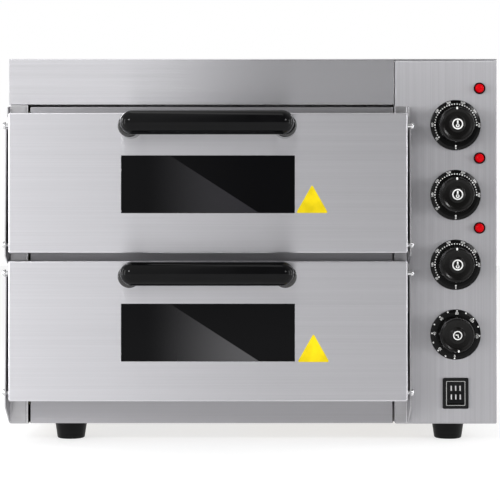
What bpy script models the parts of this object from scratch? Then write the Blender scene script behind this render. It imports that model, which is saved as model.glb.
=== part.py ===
"""Countertop pizza oven with two decks: sheet-metal casing, two chambers, two tip-down doors.

Frame: metres, +Z up, front towards -Y, origin under the middle of the bounding box at the feet's soles.
"""

import math

import bmesh
import bpy
from mathutils import Matrix, Vector

OBJECT_NAME = "countertop_pizza_oven"

# Overall size
DEPTH = 0.570
BODY_WIDTH = 0.560
HEIGHT = 0.439
FOOT_HEIGHT = 0.020
HANDLE_REACH = 0.0846
GLAND_REACH = 0.014

# Sheet metal and clearances
SHEET = 0.0010
GAP = 0.0003
SEAM = 0.0011
CHEEK_SHEET = 0.0015
DOOR_SHEET = 0.0012

# Pins and screws of the doors
PIN_HEAD_LENGTH = 0.0043
PIN_HEAD_RADIUS = 0.0044
PIN_RADIUS = 0.0030
PIN_INSIDE = 0.009

# Body planes
BODY_LEFT = -BODY_WIDTH / 2 + (PIN_HEAD_LENGTH + GAP) / 2
BODY_RIGHT = BODY_LEFT + BODY_WIDTH
FRONT = -DEPTH / 2 + HANDLE_REACH
REAR = DEPTH / 2 - GLAND_REACH
BOTTOM = FOOT_HEIGHT
TOP = HEIGHT

# Front view layout
PANEL_WIDTH = 0.1172
PANEL_LEFT = BODY_RIGHT - PANEL_WIDTH
PANEL_DEPTH = 0.022
FASCIA_BOTTOM = 0.386
FLANGE_WIDTH = 0.0217
FRAME_RECESS = 0.0020
FRAME_DEPTH = 0.020
FRAME_LEFT = BODY_LEFT + 0.0233
FRAME_RIGHT = PANEL_LEFT - SEAM
PARTITION_LEFT = PANEL_LEFT + SHEET + GAP

# Doors
DOOR_WIDTH = 0.4498
DOOR_HEIGHT = 0.158
DOOR_FACE = 0.036
DOOR_BACK = 0.0110
DOOR_BOTTOMS = {"lower": 0.0493, "upper": 0.2162}
CHEEK_LEFT_INSIDE = BODY_LEFT + CHEEK_SHEET
CHEEK_RIGHT_INSIDE = BODY_LEFT + 0.457
DOOR_X = (CHEEK_LEFT_INSIDE + CHEEK_RIGHT_INSIDE) / 2
PIVOT_UP = 0.0092
PIVOT_OUT = 0.024
CATCH_DOWN = 0.0140
WINDOW_WIDTH = 0.1957
WINDOW_HEIGHT = 0.065
WINDOW_DROP = 0.0015
GLASS_THICKNESS = 0.004
GLASS_MARGIN = 0.010
LINER_DEPTH = 0.0080

# Handles
GRIP_RADIUS = 0.0126
GRIP_HALF = 0.096
GRIP_OUT = HANDLE_REACH - GRIP_RADIUS
GRIP_DOWN = 0.0135
POST_X = 0.088
POST_DROP = 0.0037
POST_RADIUS = 0.0128
POST_LENGTH = 0.032

# Hinge cheeks: distances out from the body's front plane
CHEEK_FEET = {"left": 0.018, "right": 0.014}
CHEEK_TOP = 0.3845
CHEEK_WIDE = 0.0335
CHEEK_NARROW = 0.027
CHEEK_NOTCH = 0.009
CHEEK_PRONG = 0.015

# Chambers
CHAMBER_INSIDE = 0.400
CHAMBER_HEIGHT = 0.120
CHAMBER_FLOORS = {"lower": 0.068, "upper": 0.235}
MOUTH_OUT = 0.009
STONE_SIDE = 0.380
STONE_THICKNESS = 0.012

# Heating elements
ELEMENT_RADIUS = 0.0035
ELEMENT_RUNS = 6
ELEMENT_PITCH = 0.056
ELEMENT_Z = {"top": 0.344, "middle": 0.212, "bottom": 0.059}
ELEMENT_TURN_LEFT = -0.165
ELEMENT_TURN_RIGHT = 0.130
ELEMENT_HOLE = 0.0055
ELEMENT_TURN_STEPS = 4

# Insulation
WRAP_BOTTOM = 0.040
WRAP_TOP = 0.381
WRAP_BACK = 0.038

# Controls
KNOB_FROM_RIGHT = 0.0477
KNOB_TOP = 0.3628
KNOB_PITCH = 0.0801
DIAL_RADIUS = 0.029
DIAL_THICKNESS = 0.0030
CAP_RADIUS = 0.0208
CAP_FRONT = 0.0200
SHAFT_RADIUS = 0.0030
SHAFT_HOLE = 0.0050
LAMP_FROM_RIGHT = 0.0202
LAMP_ABOVE_KNOB = 0.0423
LAMP_RADIUS = 0.0056
LAMP_BEZEL_RADIUS = 0.00665
LAMP_DEPTH = 0.012
SWITCH_Z = 0.0551
SWITCH_WIDTH = 0.0296
SWITCH_HEIGHT = 0.0355
ROCKER_WIDTH = 0.0195
ROCKER_HEIGHT = 0.0245
ROCKER_TILT = math.radians(8)

# Feet
FOOT_TOP_RADIUS = 0.0187
FOOT_SOLE_RADIUS = 0.0157
FOOT_FROM_LEFT = 0.0672
FOOT_FROM_RIGHT = 0.0523
FOOT_FROM_FRONT = 0.035
FOOT_FROM_REAR = 0.050

# Vents
SLOT_LENGTH = 0.050
SLOT_WIDTH = 0.004
SLOT_PITCH = 0.018

X = Vector((1, 0, 0))
Y = Vector((0, 1, 0))
Z = Vector((0, 0, 1))
FORWARD = -Y

STEEL = ("brushed_steel", (0.62, 0.62, 0.63), 0.32, 1.0)
INNER_STEEL = ("inner_steel", (0.52, 0.52, 0.52), 0.45, 1.0)
CHROME = ("chrome", (0.78, 0.78, 0.79), 0.08, 1.0)
BAKELITE = ("black_bakelite", (0.012, 0.012, 0.013), 0.25, 0.0)
GLASS = ("dark_glass", (0.02, 0.02, 0.02), 0.05, 0.0)
RUBBER = ("black_rubber", (0.02, 0.02, 0.02), 0.6, 0.0)
LENS = ("red_lens", (0.75, 0.02, 0.03), 0.2, 0.0)
STONE = ("stone", (0.62, 0.55, 0.45), 0.9, 0.0)
WOOL = ("mineral_wool", (0.75, 0.73, 0.62), 1.0, 0.0)
ELEMENT = ("element_sheath", (0.20, 0.18, 0.17), 0.5, 1.0)


def material(look):
    """The material of this name, made the first time it is asked for."""
    name, colour, roughness, metallic = look
    found = bpy.data.materials.get(name)
    if found:
        return found
    made = bpy.data.materials.new(name)
    made.use_nodes = True
    shader = made.node_tree.nodes["Principled BSDF"]
    shader.inputs["Base Color"].default_value = (*colour, 1)
    shader.inputs["Roughness"].default_value = roughness
    shader.inputs["Metallic"].default_value = metallic
    return made


def collection(name):
    """The collection of this name, linked to the scene."""
    found = bpy.data.collections.get(name)
    if not found:
        found = bpy.data.collections.new(name)
        bpy.context.scene.collection.children.link(found)
    return found


def place(name, bm, look, origin=Vector()):
    """An object of this bmesh, whose vertices are in world space, with its origin where asked."""
    bmesh.ops.translate(bm, verts=bm.verts, vec=-origin)
    mesh = bpy.data.meshes.new(name)
    bm.to_mesh(mesh)
    bm.free()
    made = bpy.data.objects.new(name, mesh)
    made.location = origin
    if look is None:
        made.hide_render = True
        made.display_type = "WIRE"
        collection("cutters").objects.link(made)
    else:
        mesh.materials.append(material(look))
        collection(OBJECT_NAME).objects.link(made)
    return made


def box_mesh(low, high):
    """A bmesh box between two corners."""
    low = Vector(low)
    high = Vector(high)
    bm = bmesh.new()
    size = high - low
    middle = (low + high) / 2
    bmesh.ops.create_cube(bm, size=1, matrix=Matrix.Translation(middle) @ Matrix.Diagonal((*size, 1)))
    return bm


def box(name, low, high, look, origin=Vector()):
    return place(name, box_mesh(low, high), look, origin)


def pan(name, low, high, open_side, look, sheet=SHEET, origin=Vector()):
    """A folded tray: a box's outside without the face on its open side, thickened inwards."""
    bm = box_mesh(low, high)
    lid = [face for face in bm.faces if face.normal.dot(open_side) > 0.9]
    bmesh.ops.delete(bm, geom=lid, context="FACES")
    made = place(name, bm, look, origin)
    solidify = made.modifiers.new("sheet", "SOLIDIFY")
    solidify.thickness = sheet
    solidify.offset = -1
    solidify.use_even_offset = True
    return made


def facing(direction):
    """The rotation that turns local +Z to this direction."""
    return Vector(direction).to_track_quat("Z", "Y").to_matrix().to_4x4()


def turned(name, profile, centre, direction, look, steps=24, closed=False):
    """A turned solid. The profile lists (radius, height along direction), from the far end back."""
    bm = bmesh.new()
    row = [bm.verts.new((radius, 0, height)) for radius, height in profile]
    for a, b in zip(row, row[1:] + row[:1] if closed else row[1:]):
        bm.edges.new((a, b))
    made = place(name, bm, look)
    made.matrix_world = Matrix.Translation(Vector(centre)) @ facing(direction)
    screw = made.modifiers.new("turn", "SCREW")
    screw.axis = "Z"
    screw.steps = steps
    screw.render_steps = steps
    screw.use_merge_vertices = True
    screw.merge_threshold = 0.00001
    return made


def cylinder_cutter(name, centre, direction, radius, length, steps=24):
    """A round cutter, centred, along a direction."""
    bm = bmesh.new()
    turn = Matrix.Translation(Vector(centre)) @ facing(direction)
    bmesh.ops.create_cone(
        bm, cap_ends=True, segments=steps, radius1=radius, radius2=radius, depth=length, matrix=turn
    )
    return place(name, bm, None)


def change(target, tool, operation="DIFFERENCE"):
    """A Boolean modifier; a tool that is added is kept among the cutters."""
    step = target.modifiers.new(tool.name, "BOOLEAN")
    step.operation = operation
    step.object = tool
    step.solver = "EXACT"


def cut_box(target, name, low, high):
    change(target, box(name, low, high, None))


def cut_round(target, name, centre, direction, radius, length, steps=24):
    change(target, cylinder_cutter(name, centre, direction, radius, length, steps))


def add_box(target, name, low, high):
    change(target, box(name, low, high, None), "UNION")


def soften(target, width, segments=2):
    """Rounds the edges."""
    bevel = target.modifiers.new("edges", "BEVEL")
    bevel.width = width
    bevel.segments = segments
    bevel.limit_method = "ANGLE"


def outline(points, thickness, matrix, name, look, origin=Vector()):
    """A flat plate: a filled outline in the plane of a matrix, made a mesh so that it can be cut."""
    curve = bpy.data.curves.new(name + "_outline", "CURVE")
    curve.dimensions = "2D"
    curve.fill_mode = "BOTH"
    curve.extrude = thickness / 2
    spline = curve.splines.new("POLY")
    spline.points.add(len(points) - 1)
    for target, point in zip(spline.points, points):
        target.co = (*point, 0, 1)
    spline.use_cyclic_u = True
    return mesh_of_curve(curve, matrix, name, look, origin)


def tube(points, radius, name, look):
    """A round tube along a list of points."""
    curve = bpy.data.curves.new(name + "_path", "CURVE")
    curve.dimensions = "3D"
    curve.bevel_depth = radius
    curve.bevel_resolution = 2
    curve.use_fill_caps = True
    spline = curve.splines.new("POLY")
    spline.points.add(len(points) - 1)
    for target, point in zip(spline.points, points):
        target.co = (*point, 1)
    return mesh_of_curve(curve, Matrix(), name, look, Vector())


def mesh_of_curve(curve, matrix, name, look, origin):
    """The curve's evaluated surface as a mesh object, caps welded on, the curve removed."""
    guide = bpy.data.objects.new(curve.name, curve)
    bpy.context.scene.collection.objects.link(guide)
    bpy.context.view_layer.update()
    mesh = bpy.data.meshes.new_from_object(guide.evaluated_get(bpy.context.evaluated_depsgraph_get()))
    bm = bmesh.new()
    bm.from_mesh(mesh)
    bmesh.ops.remove_doubles(bm, verts=bm.verts, dist=0.00001)
    bmesh.ops.transform(bm, matrix=matrix, verts=bm.verts)
    bmesh.ops.recalc_face_normals(bm, faces=bm.faces)
    bpy.data.objects.remove(guide)
    bpy.data.curves.remove(curve)
    bpy.data.meshes.remove(mesh)
    return place(name, bm, look, origin)


# Casing


def top_cover():
    """Roof sheet whose front folds down as the fascia, over the bay of the doors only."""
    cover = box("top_cover", (BODY_LEFT, FRONT, TOP - SHEET), (BODY_RIGHT, REAR, TOP), STEEL)
    fascia_right = PANEL_LEFT - SEAM
    add_box(
        cover, "fascia", (BODY_LEFT, FRONT, FASCIA_BOTTOM), (fascia_right, FRONT + SHEET, TOP - SHEET / 2)
    )
    add_box(
        cover,
        "fascia_lip",
        (BODY_LEFT, FRONT + SHEET / 2, FASCIA_BOTTOM),
        (fascia_right, FRONT + 0.008, FASCIA_BOTTOM + SHEET),
    )


def side_panels():
    """Two trays, open towards the middle of the oven; the right one has rows of vent slots."""
    under_cover = TOP - SHEET - GAP
    back = REAR - SHEET - GAP
    left = pan(
        "left_side_panel", (BODY_LEFT, FRONT, BOTTOM), (BODY_LEFT + FLANGE_WIDTH, back, under_cover), X, STEEL
    )
    cut_box(
        left,
        "fascia_clearance",
        (BODY_LEFT - 0.01, FRONT - 0.01, FASCIA_BOTTOM - GAP),
        (BODY_LEFT + 0.03, FRONT + 0.008 + GAP, TOP + 0.01),
    )
    right = pan(
        "right_side_panel",
        (BODY_RIGHT - FLANGE_WIDTH, FRONT + PANEL_DEPTH + GAP, BOTTOM),
        (BODY_RIGHT, back, under_cover),
        -X,
        STEEL,
    )
    for column, middle in enumerate((-0.060, 0.035, 0.130)):
        for row in range(9):
            z = 0.150 + row * SLOT_PITCH
            cut_box(
                right,
                f"side_slot_{column}_{row}",
                (BODY_RIGHT - 0.005, middle - SLOT_LENGTH / 2, z),
                (BODY_RIGHT + 0.005, middle + SLOT_LENGTH / 2, z + SLOT_WIDTH),
            )


def rear_panel():
    """Back sheet with vents behind the control bay and the hole of the cable gland."""
    rear = box(
        "rear_panel", (BODY_LEFT, REAR - SHEET, BOTTOM), (BODY_RIGHT, REAR, TOP - SHEET - GAP), STEEL
    )
    for row in range(10):
        z = 0.200 + row * SLOT_PITCH
        cut_box(
            rear,
            f"rear_slot_{row}",
            (BODY_RIGHT - 0.030 - SLOT_LENGTH, REAR - 0.01, z),
            (BODY_RIGHT - 0.030, REAR + 0.01, z + SLOT_WIDTH),
        )
    cut_round(rear, "gland_hole", gland_place(), Y, 0.0085, 0.02, 18)


def base_plate():
    """Tray that closes the bottom between the side panels' lower flanges."""
    base = pan(
        "base_plate",
        (BODY_LEFT + FLANGE_WIDTH + GAP, FRONT + FRAME_RECESS + FRAME_DEPTH + GAP, BOTTOM + GAP),
        (BODY_RIGHT - FLANGE_WIDTH - GAP, REAR - 2 * SHEET - 2 * GAP, BOTTOM + 0.0150),
        Z,
        INNER_STEEL,
    )
    for row in range(6):
        y = -0.10 + row * SLOT_PITCH
        cut_box(
            base,
            f"base_slot_{row}",
            (PANEL_LEFT + 0.025, y, BOTTOM - 0.01),
            (PANEL_LEFT + 0.025 + SLOT_LENGTH, y + SLOT_WIDTH, BOTTOM + 0.01),
        )
    for name, x, y in foot_places():
        cut_round(base, f"hole_{name}", (x, y, BOTTOM), Z, 0.003, 0.02, 10)


def front_frame():
    """Recessed tray behind the doors with the two mouths cut through it."""
    frame = pan(
        "front_frame",
        (FRAME_LEFT, FRONT + FRAME_RECESS, BOTTOM + GAP),
        (FRAME_RIGHT, FRONT + FRAME_RECESS + FRAME_DEPTH, FASCIA_BOTTOM - 2 * GAP),
        Y,
        STEEL,
    )
    reach = CHAMBER_INSIDE / 2 + SHEET + GAP
    for deck, floor in CHAMBER_FLOORS.items():
        cut_box(
            frame,
            f"{deck}_mouth",
            (DOOR_X - reach, FRONT - 0.01, floor - SHEET - GAP),
            (DOOR_X + reach, FRONT + 0.01, floor + CHAMBER_HEIGHT + SHEET + GAP),
        )


def bay_partition():
    """Upright sheet between the oven bay and the control bay, with holes for the elements' ends."""
    partition = box(
        "bay_partition",
        (PARTITION_LEFT, FRONT + FRAME_RECESS + FRAME_DEPTH + SHEET + 2 * GAP, BOTTOM + SHEET + 2 * GAP),
        (PARTITION_LEFT + SHEET, REAR - 3 * SHEET - 3 * GAP, TOP - SHEET - GAP),
        INNER_STEEL,
    )
    for name, z in ELEMENT_Z.items():
        for end in element_ends():
            cut_round(partition, f"{name}_lead_{end:.2f}", (PARTITION_LEFT, end, z), X, ELEMENT_HOLE, 0.02, 8)


def control_panel():
    """Full-height front tray of the control bay, pierced for shafts, lamps and switch."""
    panel = pan(
        "control_panel",
        (PANEL_LEFT, FRONT, BOTTOM),
        (BODY_RIGHT, FRONT + PANEL_DEPTH, TOP - SHEET - GAP),
        Y,
        STEEL,
    )
    for name, z in knob_heights().items():
        cut_round(panel, f"{name}_hole", (knob_x(), FRONT, z), Y, SHAFT_HOLE, 0.01, 16)
    for name, z in lamp_heights().items():
        cut_round(panel, f"{name}_hole", (lamp_x(), FRONT, z), Y, LAMP_RADIUS - 0.0005, 0.01, 18)
    half_width = SWITCH_WIDTH / 2 - 0.0015
    half_height = SWITCH_HEIGHT / 2 - 0.0015
    cut_box(
        panel,
        "switch_hole",
        (knob_x() - half_width, FRONT - 0.01, SWITCH_Z - half_height),
        (knob_x() + half_width, FRONT + 0.01, SWITCH_Z + half_height),
    )


def hinge_cheeks():
    """Profiled plates at both ends of the doors, each with a foot folded inwards behind the doors."""
    side_on = Matrix((-Y, Z, -X)).transposed().to_4x4()
    for side, inside, outward in (("left", CHEEK_LEFT_INSIDE, -1), ("right", CHEEK_RIGHT_INSIDE, 1)):
        middle = inside + outward * CHEEK_SHEET / 2
        place_at = Matrix.Translation(Vector((middle, FRONT, 0))) @ side_on
        name = f"hinge_cheek_{side}"
        cheek = outline(cheek_outline(), CHEEK_SHEET, place_at, name, STEEL)
        foot_inner = inside - outward * CHEEK_FEET[side]
        foot_outer = inside + outward * CHEEK_SHEET / 2
        add_box(
            cheek,
            f"{name}_foot",
            (min(foot_inner, foot_outer), FRONT - GAP - CHEEK_SHEET, BOTTOM + GAP),
            (max(foot_inner, foot_outer), FRONT - GAP, CHEEK_TOP),
        )
        for deck in DOOR_BOTTOMS:
            pivot = pivot_of(deck)
            cut_round(cheek, f"{name}_{deck}_hole", (middle, pivot.y, pivot.z), X, PIN_RADIUS + GAP * 1.5, 0.02, 14)


def cheek_outline():
    """The plate from below upwards, as (distance out, height): its edge steps back at both notches."""
    points = [(GAP, BOTTOM + GAP)]
    for deck, rise in (("lower", 0.006), ("upper", 0.003)):
        bottom = DOOR_BOTTOMS[deck]
        top = bottom + DOOR_HEIGHT
        seat = top - CATCH_DOWN - PIN_RADIUS - 2 * GAP
        tip = top - 0.003
        points += [
            (CHEEK_WIDE, bottom - rise),
            (CHEEK_NARROW, seat),
            (CHEEK_NOTCH, seat),
            (CHEEK_NOTCH, tip),
            (CHEEK_PRONG, tip),
        ]
    points += [(CHEEK_PRONG, CHEEK_TOP - 0.003), (GAP, CHEEK_TOP)]
    return points


# Doors


def pivot_of(deck):
    """The middle of a door's pivot axis."""
    return Vector((DOOR_X, FRONT - PIVOT_OUT, DOOR_BOTTOMS[deck] + PIVOT_UP))


def door_fasteners(deck):
    """Dome-head pins at the bottom corners and catch screws near the top ones, through the cheeks."""
    pivot = pivot_of(deck)
    top = DOOR_BOTTOMS[deck] + DOOR_HEIGHT
    kinds = (("pivot_pin", pivot.z, PIN_RADIUS), ("catch_screw", top - CATCH_DOWN, PIN_RADIUS - 0.0003))
    for kind, z, radius in kinds:
        for side, inside, outward in (("left", CHEEK_LEFT_INSIDE, -1), ("right", CHEEK_RIGHT_INSIDE, 1)):
            under_head = inside + outward * (CHEEK_SHEET + GAP)
            profile = dome_head(radius)
            turned(f"{deck}_{kind}_{side}", profile, (under_head, pivot.y, z), X * outward, STEEL, 12)


def dome_head(radius):
    """Profile of a domed head with its shank, from the dome's top to the shank's end."""
    points = []
    for step in range(4):
        angle = math.radians(step * 90 / 3)
        points.append((PIN_HEAD_RADIUS * math.sin(angle), PIN_HEAD_LENGTH * math.cos(angle)))
    points[0] = (0, PIN_HEAD_LENGTH)
    points[-1] = (PIN_HEAD_RADIUS, 0.0004)
    points += [(PIN_HEAD_RADIUS, 0), (radius, 0), (radius, -PIN_INSIDE), (0, -PIN_INSIDE)]
    return points


def door_panels(deck):
    """Outer skin, inner liner with the window tunnel, and the pane between them."""
    pivot = pivot_of(deck)
    low_z = DOOR_BOTTOMS[deck]
    high_z = low_z + DOOR_HEIGHT
    face = FRONT - DOOR_FACE
    back = FRONT - DOOR_BACK
    window_z = (low_z + high_z) / 2 - WINDOW_DROP
    skin = pan(
        f"{deck}_door_skin",
        (DOOR_X - DOOR_WIDTH / 2, face, low_z),
        (DOOR_X + DOOR_WIDTH / 2, back, high_z),
        Y,
        STEEL,
        DOOR_SHEET,
        pivot,
    )
    cut_box(
        skin,
        f"{deck}_window",
        (DOOR_X - WINDOW_WIDTH / 2, face - 0.01, window_z - WINDOW_HEIGHT / 2),
        (DOOR_X + WINDOW_WIDTH / 2, face + 0.01, window_z + WINDOW_HEIGHT / 2),
    )
    for name, z in (("pivot", pivot.z), ("catch", high_z - CATCH_DOWN)):
        length = DOOR_WIDTH + 0.02
        cut_round(skin, f"{deck}_{name}_holes", (DOOR_X, pivot.y, z), X, PIN_RADIUS + GAP * 1.5, length, 14)
    box(
        f"{deck}_window_glass",
        (DOOR_X - WINDOW_WIDTH / 2 - GLASS_MARGIN, glass_front(), window_z - WINDOW_HEIGHT / 2 - GLASS_MARGIN),
        (
            DOOR_X + WINDOW_WIDTH / 2 + GLASS_MARGIN,
            glass_front() + GLASS_THICKNESS,
            window_z + WINDOW_HEIGHT / 2 + GLASS_MARGIN,
        ),
        GLASS,
        pivot,
    )
    inset = DOOR_SHEET + GAP
    liner = pan(
        f"{deck}_door_liner",
        (DOOR_X - DOOR_WIDTH / 2 + inset, back - LINER_DEPTH, low_z + inset),
        (DOOR_X + DOOR_WIDTH / 2 - inset, back, high_z - inset),
        FORWARD,
        INNER_STEEL,
        SHEET,
        pivot,
    )
    tunnel_front = glass_front() + GLASS_THICKNESS + GAP
    add_box(
        liner,
        f"{deck}_tunnel",
        (DOOR_X - WINDOW_WIDTH / 2 - 0.003, tunnel_front, window_z - WINDOW_HEIGHT / 2 - 0.003),
        (DOOR_X + WINDOW_WIDTH / 2 + 0.003, back - SHEET / 2, window_z + WINDOW_HEIGHT / 2 + 0.003),
    )
    cut_box(
        liner,
        f"{deck}_tunnel_hole",
        (DOOR_X - WINDOW_WIDTH / 2 - 0.002, tunnel_front - 0.01, window_z - WINDOW_HEIGHT / 2 - 0.002),
        (DOOR_X + WINDOW_WIDTH / 2 + 0.002, back + 0.01, window_z + WINDOW_HEIGHT / 2 + 0.002),
    )


def glass_front():
    return FRONT - DOOR_FACE + DOOR_SHEET + GAP


def handle(deck):
    """Bar with round ends on two posts, whose tops are hollowed to carry the bar."""
    face = FRONT - DOOR_FACE
    centre = Vector((DOOR_X, FRONT - GRIP_OUT, DOOR_BOTTOMS[deck] + DOOR_HEIGHT - GRIP_DOWN))
    turned(f"{deck}_handle_grip", grip_profile(GRIP_RADIUS, GRIP_HALF), centre, X, BAKELITE, 20)
    for side, sign in (("left", -1), ("right", 1)):
        seat = Vector((centre.x + sign * POST_X, face - GAP, centre.z - POST_DROP))
        profile = [
            (0, POST_LENGTH),
            (POST_RADIUS - 0.0006, POST_LENGTH),
            (POST_RADIUS, POST_LENGTH - 0.0010),
            (POST_RADIUS, 0),
            (0, 0),
        ]
        post = turned(f"{deck}_handle_post_{side}", profile, seat, FORWARD, CHROME, 24)
        hollow = turned(
            f"{deck}_{side}_hollow", grip_profile(GRIP_RADIUS + GAP, GRIP_HALF + GAP), centre, X, None, 24
        )
        change(post, hollow)


def grip_profile(radius, half):
    """Half-outline of a bar with hemispherical ends, from one tip to the other."""
    arc = 4
    points = []
    for step in range(arc + 1):
        angle = math.radians(90 * step / arc)
        points.append((radius * math.sin(angle), half - radius + radius * math.cos(angle)))
    points[0] = (0, half)
    lower = [(r, -h) for r, h in reversed(points)]
    return points + lower


# Inside the oven bay


def chambers():
    """Open-fronted boxes whose mouths stand out of the front frame."""
    half = CHAMBER_INSIDE / 2 + SHEET
    for deck, floor in CHAMBER_FLOORS.items():
        chamber = pan(
            f"{deck}_chamber",
            (DOOR_X - half, FRONT - MOUTH_OUT, floor - SHEET),
            (DOOR_X + half, FRONT - MOUTH_OUT + CHAMBER_INSIDE + SHEET, floor + CHAMBER_HEIGHT + SHEET),
            FORWARD,
            INNER_STEEL,
        )
        if deck == "upper":
            for end in element_ends():
                cut_round(
                    chamber, f"lead_{end:.2f}", (DOOR_X + half, end, ELEMENT_Z["top"]), X, ELEMENT_HOLE, 0.02, 8
                )
        stone_front = FRONT + 0.005
        stone = box(
            f"{deck}_stone",
            (DOOR_X - STONE_SIDE / 2, stone_front, floor + GAP),
            (DOOR_X + STONE_SIDE / 2, stone_front + STONE_SIDE, floor + GAP + STONE_THICKNESS),
            STONE,
        )
        soften(stone, 0.0015, 1)


def element_middle_y():
    return FRONT + 0.190


def element_ends():
    """Where the two leads of an element lie, front to back."""
    reach = (ELEMENT_RUNS - 1) * ELEMENT_PITCH / 2
    return (element_middle_y() - reach, element_middle_y() + reach)


def element_path(z):
    """Parallel runs along X joined by half-circle turns; both leads end in the control bay."""
    turn = ELEMENT_PITCH / 2
    lead_x = PARTITION_LEFT + 0.018
    front, back = element_ends()
    points = [(lead_x, front, z)]
    for run in range(ELEMENT_RUNS - 1):
        y = front + run * ELEMENT_PITCH + turn
        leftward = run % 2 == 0
        centre_x = DOOR_X + (ELEMENT_TURN_LEFT if leftward else ELEMENT_TURN_RIGHT)
        for step in range(ELEMENT_TURN_STEPS + 1):
            angle = math.radians(-90 + 180 * step / ELEMENT_TURN_STEPS)
            bulge = turn * math.cos(angle)
            points.append((centre_x + (-bulge if leftward else bulge), y + turn * math.sin(angle), z))
    points.append((lead_x, back, z))
    return points


def heating_elements():
    for name, z in ELEMENT_Z.items():
        tube(element_path(z), ELEMENT_RADIUS, f"heating_element_{name}", ELEMENT)


def insulation():
    """One wrap round both chambers, with slots for the two elements outside the chambers."""
    half = CHAMBER_INSIDE / 2 + SHEET + GAP
    front = FRONT + FRAME_RECESS + FRAME_DEPTH + GAP
    chamber_back = FRONT - MOUTH_OUT + CHAMBER_INSIDE + SHEET + GAP
    right = PARTITION_LEFT - GAP
    wrap = box(
        "insulation_wrap",
        (BODY_LEFT + 0.008, front, WRAP_BOTTOM),
        (right, chamber_back + WRAP_BACK, WRAP_TOP),
        WOOL,
    )
    for deck, floor in CHAMBER_FLOORS.items():
        cut_box(
            wrap,
            f"{deck}_pocket",
            (DOOR_X - half, front - 0.01, floor - SHEET - GAP),
            (DOOR_X + half, chamber_back, floor + CHAMBER_HEIGHT + SHEET + GAP),
        )
    for name, z in ELEMENT_Z.items():
        if name == "top":
            for end in element_ends():
                cut_round(wrap, f"wrap_{end:.2f}", (right, end, z), X, ELEMENT_HOLE, 0.05, 8)
            continue
        cut_box(
            wrap,
            f"{name}_slot",
            (DOOR_X - half, front - 0.01, z - 0.008),
            (right + 0.01, element_ends()[1] + 0.010, z + 0.008),
        )


# Controls


def knob_x():
    return BODY_RIGHT - KNOB_FROM_RIGHT


def lamp_x():
    return BODY_RIGHT - LAMP_FROM_RIGHT


def knob_heights():
    names = ("top_thermostat", "middle_thermostat", "bottom_thermostat", "timer")
    return {name: KNOB_TOP - step * KNOB_PITCH for step, name in enumerate(names)}


def lamp_heights():
    names = ("top_lamp", "middle_lamp", "bottom_lamp")
    return {name: KNOB_TOP + LAMP_ABOVE_KNOB - step * KNOB_PITCH for step, name in enumerate(names)}


def dials_and_knobs():
    """Each control: a fixed dial ring, and a cap whose shaft reaches into the switchgear behind."""
    for name, z in knob_heights().items():
        ring = [
            (DIAL_RADIUS - 0.0012, DIAL_THICKNESS),
            (DIAL_RADIUS, DIAL_THICKNESS - 0.0010),
            (DIAL_RADIUS, 0),
            (SHAFT_HOLE, 0),
            (SHAFT_HOLE, DIAL_THICKNESS),
        ]
        turned(f"{name}_dial", ring, (knob_x(), FRONT - GAP, z), FORWARD, BAKELITE, 30, closed=True)
        cap_back = DIAL_THICKNESS + 2 * GAP
        cap = [
            (0, CAP_FRONT),
            (CAP_RADIUS - 0.0040, CAP_FRONT),
            (CAP_RADIUS - 0.0018, CAP_FRONT - 0.0010),
            (CAP_RADIUS - 0.0012, CAP_FRONT - 0.0030),
            (CAP_RADIUS, cap_back + 0.0015),
            (CAP_RADIUS, cap_back),
            (SHAFT_RADIUS, cap_back),
            (SHAFT_RADIUS, -0.018),
            (0, -0.018),
        ]
        turned(f"{name}_knob", cap, (knob_x(), FRONT, z), FORWARD, BAKELITE, 26)


def switchgear():
    """Thermostat and timer bodies behind the panel, their bushings bored for the knobs' shafts."""
    for name, z in knob_heights().items():
        back = FRONT + 0.040
        face = FRONT + 0.010
        if name == "timer":
            body_name = "timer_body"
            profile = [(0, 0.030), (0.024, 0.030), (0.025, 0.029), (0.025, 0), (0, 0)]
            body = turned(body_name, profile, (knob_x(), back, z), FORWARD, INNER_STEEL, 20)
        else:
            body_name = f"{name}_body"
            half = 0.0175
            body = box(
                body_name, (knob_x() - half, face, z - half), (knob_x() + half, back, z + half), INNER_STEEL
            )
        bushing = cylinder_cutter(f"{name}_bushing", (knob_x(), FRONT + 0.007, z), Y, 0.0045, 0.010, 14)
        change(body, bushing, "UNION")
        cut_round(body, f"{name}_bore", (knob_x(), FRONT + 0.010, z), Y, SHAFT_RADIUS + GAP * 1.5, 0.020, 14)


def lamps():
    """Round lamps: a dome in a thin bezel, the body passing through the panel."""
    for name, z in lamp_heights().items():
        shank = LAMP_RADIUS - 0.0005 - GAP
        profile = [
            (0, 0.0042),
            (0.0028, 0.0037),
            (0.0048, 0.0024),
            (LAMP_RADIUS - 0.0001, 0.0012),
            (LAMP_BEZEL_RADIUS, 0.0012),
            (LAMP_BEZEL_RADIUS, GAP),
            (shank, GAP),
            (shank, -LAMP_DEPTH),
            (0, -LAMP_DEPTH),
        ]
        turned(name.replace("lamp", "heating_lamp"), profile, (lamp_x(), FRONT, z), FORWARD, LENS, 18)


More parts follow.
